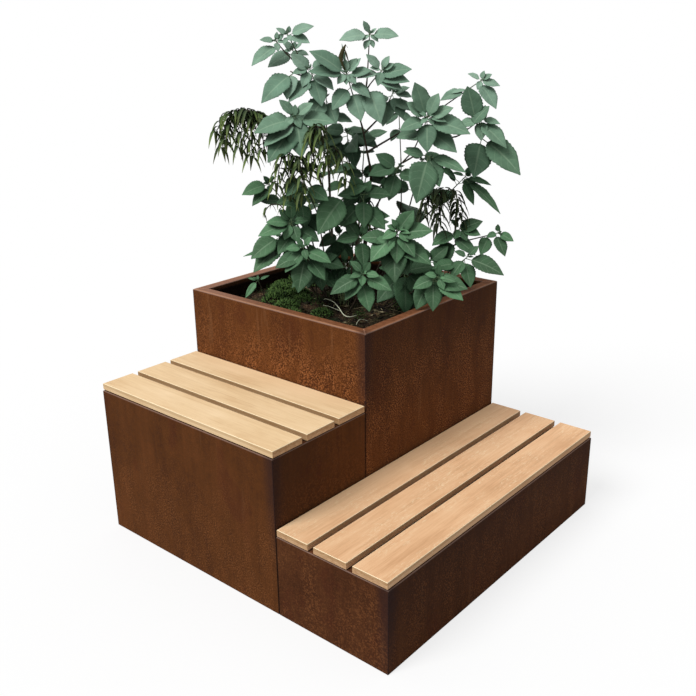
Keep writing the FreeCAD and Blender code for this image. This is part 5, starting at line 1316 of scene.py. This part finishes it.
def tip_bud(skin, stalks, route):
    """Tiny new leaves that stand up at the very tip of a stem."""
    point, heading = spot_on(route, route_length(route))
    for number in range(BUD_LEAVES):
        turn = BUD_TURN + QUARTER * number + either_way(BUD_SWING)
        spread = round_stem(heading, BUD_GUIDE, turn)
        out = (spread * BUD_OUT + heading * BUD_UP).normalized()
        grown = BUD_LENGTH * random.uniform(*BUD_SHARES)
        facing = heading - spread
        leaf = add_leaf(skin, point, out, facing, grown, grown * BUD_WIDTH, BUD_DROOP)
        stalks.append(leaf)


def narrow_leaves(skin, route, foot, length, count):
    """Narrow leaves all round a drooping twig, arching out and hanging down."""
    for number in range(count):
        distance = route_length(route) * (1 - TASSEL_SHARE * number / count)
        point, heading = spot_on(route, distance)
        angle = math.radians(LEAF_TURN * number)
        out = way_round(angle, TASSEL_RISE).normalized()
        across = (out - heading * out.dot(heading)).normalized()
        start = point + across * (thickness_at(route, foot, distance) / 2)
        uneven = TASSEL_UNEVEN * math.sin(TASSEL_WAVES * angle)
        grown = length * (1 - TASSEL_UNEVEN + uneven)
        reach = out * TASSEL_REACH
        side = reach.cross(UPRIGHT).normalized()
        tones = (random.random() ** TASSEL_TONE, height_tone(start))
        curl = either_way(TASSEL_CURL)
        rows, flat = [], []
        for place, half in NARROW_BLADE:
            middle, normal = blade_frame(start, reach, side, grown, TASSEL_DROOP, place)
            middle = middle + side * (curl * grown * place**2)
            wide = half * grown * TASSEL_WIDTH
            row = []
            for column in NARROW_COLUMNS:
                lift = wide * TASSEL_FOLD * abs(column)
                row.append((middle + side * (column * wide) + normal * lift) * MM)
            rows.append(row)
            flat.append([(0.5 + 0.5 * column, place) for column in NARROW_COLUMNS])
        skin.add_grid(rows, flat, tones)


def eased(route):
    """The route with each of its bends eased over a short stretch, for the drawn stem."""
    points = [route[0]]
    for before, here, after in zip(route, route[1:], route[2:]):
        back, on = here - before, after - here
        start = here - back.normalized() * min(BEND_REACH, back.length * BEND_SHARE)
        end = here + on.normalized() * min(BEND_REACH, on.length * BEND_SHARE)
        for step in range(BEND_STEPS + 1):
            share = step / BEND_STEPS
            points.append(start.lerp(here, share).lerp(here.lerp(end, share), share))
    points.append(route[-1])
    return points


def filled_in(points, step):
    """The same line with a point at least every step."""
    line = [points[0]]
    for before, after in zip(points, points[1:]):
        parts = max(1, math.ceil((after - before).length / step))
        line += [before.lerp(after, part / parts) for part in range(1, parts + 1)]
    return line


def add_stem(skin, route, foot, own, sides):
    """A round tapering stem, a little uneven, with a swelling at each bend."""
    line = filled_in(eased(route), STEM_STEP)
    whole = route_length(route)
    walked = 0.0
    radii, tones = [], []
    for number, point in enumerate(line):
        walked += (point - line[max(number - 1, 0)]).length
        grown = min(walked / whole, 1)
        near = min(((point - bend).length for bend in route[1:-1]), default=KNOT_REACH)
        knot = 1 + KNOT_SIZE * max(0.0, 1 - near / KNOT_REACH)
        rough = 1 + ROUGH_SIZE * noise.noise(point * ROUGH_SCALE)
        flare = 1 + FLARE_SIZE * max(0.0, 1 - walked / FLARE_REACH) if foot > BRANCH_FOOT else 1
        radii.append((foot + (TWIG_END - foot) * grown) / 2 * knot * rough * flare * MM)
        tones += [(own, grown)] * sides
    first = len(skin.points)
    tube(skin, [point * MM for point in line], radii, sides, (own, 0.0))
    skin.tones[first:] = tones


def branch_from(parent, share, points):
    """The route of a branch that leaves its parent's surface at a share of its length."""
    route, foot = parent
    distance = route_length(route) * share
    point, heading = spot_on(route, distance)
    away = route_of(points)[0] - point
    away = away - heading * away.dot(heading)
    reach = thickness_at(route, foot, distance) / 2
    return [point + away.normalized() * reach] + route_of(points)


def shrub(leaf, under, stalk, bark, narrow):
    """Stems, branches, leaves by group and tassels, each in place of its solids."""
    grown, leaves, stalks = {}, {}, {}
    stems, branches = Skin(), Skin()

    def grow(name, route, foot, group):
        """Leaves along one stem or branch, kept with its group's."""
        grown[name] = (route, foot)
        skin = leaves.setdefault(group, Skin())
        found = stalks.setdefault(group, [])
        hours = ROSETTES.get(name, ())
        if name in PAIRS:
            paired_leaves(skin, found, route, foot, *PAIRS[name])
        rosette(skin, found, route, foot, hours)
        if len(hours) != 2:
            tip_bud(skin, found, route)

    for name, (foot, group, points) in STEMS.items():
        route = route_of(points)
        grey = random.uniform(*STEM_GREY)
        add_stem(stems, route, foot, GREY_STEMS.get(name, grey), STEM_SIDES)
        grow(name, route, foot, group)
    for name, (parent, share, group, points) in BRANCHES.items():
        route = branch_from(grown[parent], share, points)
        add_stem(branches, route, BRANCH_FOOT, random.uniform(*BRANCH_GREY), BRANCH_SIDES)
        grow(name, route, BRANCH_FOOT, group)
    for tuft, twigs in TASSELS.items():
        skin = Skin()
        for parent, share, length, count, points in twigs:
            route = branch_from(grown[parent], share, points)
            add_stem(branches, route, TWIG_FOOT, TWIG_GREY, TWIG_SIDES)
            narrow_leaves(skin, route, TWIG_FOOT, length, count)
        piece = skin.build(f"tassel_{tuft}_leaves", narrow)
        thicken(piece, NARROW_SHEET, 0)
        finish_piece(piece, "narrow_leaf", f"tassel_{tuft}")
    finish_piece(stems.build("stems", bark), "bark", "shrub_stems")
    finish_piece(branches.build("branches", bark), "bark", "shrub_branches")
    for group, skin in leaves.items():
        piece = skin.build(f"blades_{group}", leaf, under)
        thicken(piece, LEAF_SHEET, 1)
        finish_piece(piece, "leaf", f"leaves_{group}")
        ribs = Skin()
        for centres, radii, tones in stalks[group]:
            tube(ribs, centres, radii, RIB_SIDES, tones)
        finish_piece(ribs.build(f"stalks_{group}", stalk), "leaf")


def soil(material):
    """Crumbly mounded soil from wall to wall, in place of the smooth solid."""
    skin = Skin()
    half_x, half_y = PLANTER_LENGTH / 2 - SHEET, PLANTER_DEPTH / 2 - SHEET
    columns, lines = SOIL_GRID
    rows, flat = [], []
    for line in range(lines + 1):
        y = half_y * (2 * line / lines - 1)
        row = []
        for column in range(columns + 1):
            x = half_x * (2 * column / columns - 1)
            z = soil_height(x, y)
            for height, scale, *detail in SOIL_RELIEF:
                z += height * noise.fractal(Vector((x, y, 0)) * scale, *detail)
            row.append(Vector((x, y, z)) * MM)
        rows.append(row)
        flat.append([(column / columns, line / lines) for column in range(columns + 1)])
    skin.add_grid(rows, flat, EVEN_TONES)
    wide = columns + 1
    rim = list(range(wide))
    rim += [line * wide + columns for line in range(1, lines + 1)]
    rim += [lines * wide + column for column in range(columns - 1, -1, -1)]
    rim += [line * wide for line in range(lines - 1, 0, -1)]
    foot, count = len(skin.points), len(rim)
    for corner in rim:
        point = skin.points[corner]
        skin.points.append(Vector((point.x, point.y, SOIL_FOOT * MM)))
        skin.flat.append((0.0, 0.0))
        skin.tones.append(EVEN_TONES)
    for step in range(count):
        after = (step + 1) % count
        skin.add_face((rim[step], foot + step, foot + after, rim[after]))
    skin.add_face(reversed(range(foot, foot + count)))
    finish_piece(skin.build("soil_bed", material), "soil", "soil")


def moss(material):
    """Cushions of small upright leaflets on the soil."""
    skin = Skin()
    for x, y, size in MOSS:
        centre = on_soil(x, y, -MOSS_SUNK * size)
        for number in range(size * MOSS_LEAFLETS):
            turn = math.radians(LEAF_TURN * number)
            level = math.sqrt(random.random()) * MOSS_SPREAD
            out = Vector((level * math.cos(turn), level * math.sin(turn), math.sqrt(1 - level**2)))
            root = centre + out * size * random.uniform(*MOSS_ROOTS)
            if root.z < soil_height(root.x, root.y) - MOSS_DEPTH:
                continue
            aim = out + Vector((either_way(1), either_way(1), MOSS_RISE)) * 0.5
            tall = size * random.uniform(*MOSS_SIZES)
            leaflet(skin, root, aim.normalized(), tall, tall * MOSS_WIDTH)
    finish_piece(skin.build("moss_tufts", material), "moss", "moss")


def frond(skin, root, turn, tall):
    """A small arching weed: pairs of leaflets along a bent line."""
    way = way_round(turn, 0)
    aside = Vector((-way.y, way.x, 0))
    for step in range(1, FROND_STEPS + 1):
        share = step / FROND_STEPS
        rise = FROND_CLIMB * share - FROND_FALL * share**2
        reach = tall * FROND_REACH * share**FROND_BEND
        point = root + way * reach + UPRIGHT * (tall * rise)
        size = tall * FROND_LEAFLET * (FROND_TAPER - share)
        for sign in (-1, 1):
            aim = aside * sign + way * FROND_LEAN + UPRIGHT * either_way(FROND_SWING)
            leaflet(skin, point, aim.normalized(), size, size * FROND_WIDTH)


def weeds(material):
    """Ferny weeds in loose patches round the moss."""
    skin = Skin()
    for x, y, spread, count in WEEDS:
        for _ in range(count):
            turn, away = any_turn(), spread * math.sqrt(random.random())
            root_x, root_y = x + away * math.cos(turn), y + away * math.sin(turn)
            root = on_soil(root_x, root_y, -ROOT_DEPTH)
            frond(skin, root, any_turn(), random.uniform(*FROND_SIZES))
    finish_piece(skin.build("weeds", material), "moss")


def grass(stalk, head):
    """A tuft of thin upright stalks with a small white head on each."""
    skin = Skin()
    x, y, spread, count = GRASS
    for _ in range(count):
        root_x, root_y = x + either_way(spread), y + either_way(spread)
        root = on_soil(root_x, root_y, -GRASS_DEPTH)
        tall = random.uniform(*GRASS_SIZES)
        lean = Vector((either_way(GRASS_LEAN), either_way(GRASS_LEAN), 1))
        bend = Vector((either_way(GRASS_BEND), either_way(GRASS_BEND), 0))
        line = [root + lean * (tall * share) + bend * share**2 for share in GRASS_RINGS]
        tube_mm(skin, line, GRASS_RADII, GRASS_SIDES, GRASS_TONES)
        tip = [line[-1] + UPRIGHT * rise for rise in HEAD_RINGS]
        tube_mm(skin, tip, HEAD_RADII, TWIG_SIDES, GRASS_TONES, slot=1)
    finish_piece(skin.build("grass", stalk, head), "moss")


def litter(dead, pale):
    """Dead leaves and bits of twig on the soil, and pale curled tendrils."""
    skin = Skin()
    for number in range(DEAD_LEAVES + TWIGS):
        is_leaf = number < DEAD_LEAVES
        tall = random.uniform(*(DEAD_LEAF_SIZES if is_leaf else TWIG_SIZES))
        x = either_way(1) * (PLANTER_LENGTH / 2 - LITTER_EDGE - tall)
        y = either_way(1) * (PLANTER_DEPTH / 2 - LITTER_EDGE - tall)
        turn = any_turn()
        aim = way_round(turn, random.uniform(*LITTER_TILT)).normalized()
        root = on_soil(x, y, random.uniform(*LITTER_LIFT))
        if is_leaf:
            leaflet(skin, root, aim, tall, tall * random.uniform(*DEAD_LEAF_WIDTHS))
            continue
        bend = Vector((either_way(TWIG_BEND), either_way(TWIG_BEND), random.uniform(0, TWIG_LIFT)))
        line = [root, root + aim * tall * 0.5 + bend, root + aim * tall]
        tube_mm(skin, line, TWIG_RADII, RIB_SIDES, (random.random(), TWIG_PLACE))
    finish_piece(skin.build("litter", dead), "soil")
    curl = Skin()
    for points, radius in TENDRILS:
        line = filled_in(eased(route_of(points)), TENDRIL_STEP)
        tube_mm(curl, line, [radius] * len(line), TWIG_SIDES, EVEN_TONES)
    finish_piece(curl.build("tendril", pale), "soil")


def withered_leaf(dead):
    """A dead leaf, curled into a hook, on the tip of the main stem."""
    skin = Skin()
    for points in WITHERED:
        centres = [Vector((x, y, PLANTER_HEIGHT + height)) for x, y, height, _ in points]
        tube_mm(skin, centres, [radius for *_, radius in points], TWIG_SIDES, WITHERED_TONES)
    finish_piece(skin.build("withered_leaf", dead), "leaf")


def main():
    """The camera, light and floor, the dressed solids, and what grows and lies in the planter."""
    bpy.context.scene.view_settings.view_transform = "Standard"
    camera()
    world_and_lamps()
    floor()
    dress_solids()
    leaf = leaf_material("leaf_finish", "#244a2b", "#64986a", "#5f866f", "#a6c6b2", "#bcd6b4")
    under = leaf_material(
        "leaf_under_finish", "#4d6650", "#6a8468", "#7f9a86", "#9ab49f", "#b4c8ab", under=True
    )
    stalk = stalk_material("stalk_finish", "#4f6644", "#8aa07a")
    shrub(leaf, under, stalk, bark_material(), narrow_material())
    soil(soil_material())
    green = moss_material()
    moss(green)
    weeds(green)
    pale = stalk_material("grass_finish", "#55703f", "#a3b585")
    grass(pale, stalk_material("grass_head_finish", "#dfe4d2", "#ffffff"))
    dead = litter_material()
    litter(dead, stalk_material("tendril_finish", "#a3a68a", "#e2e6cc"))
    withered_leaf(dead)


main()
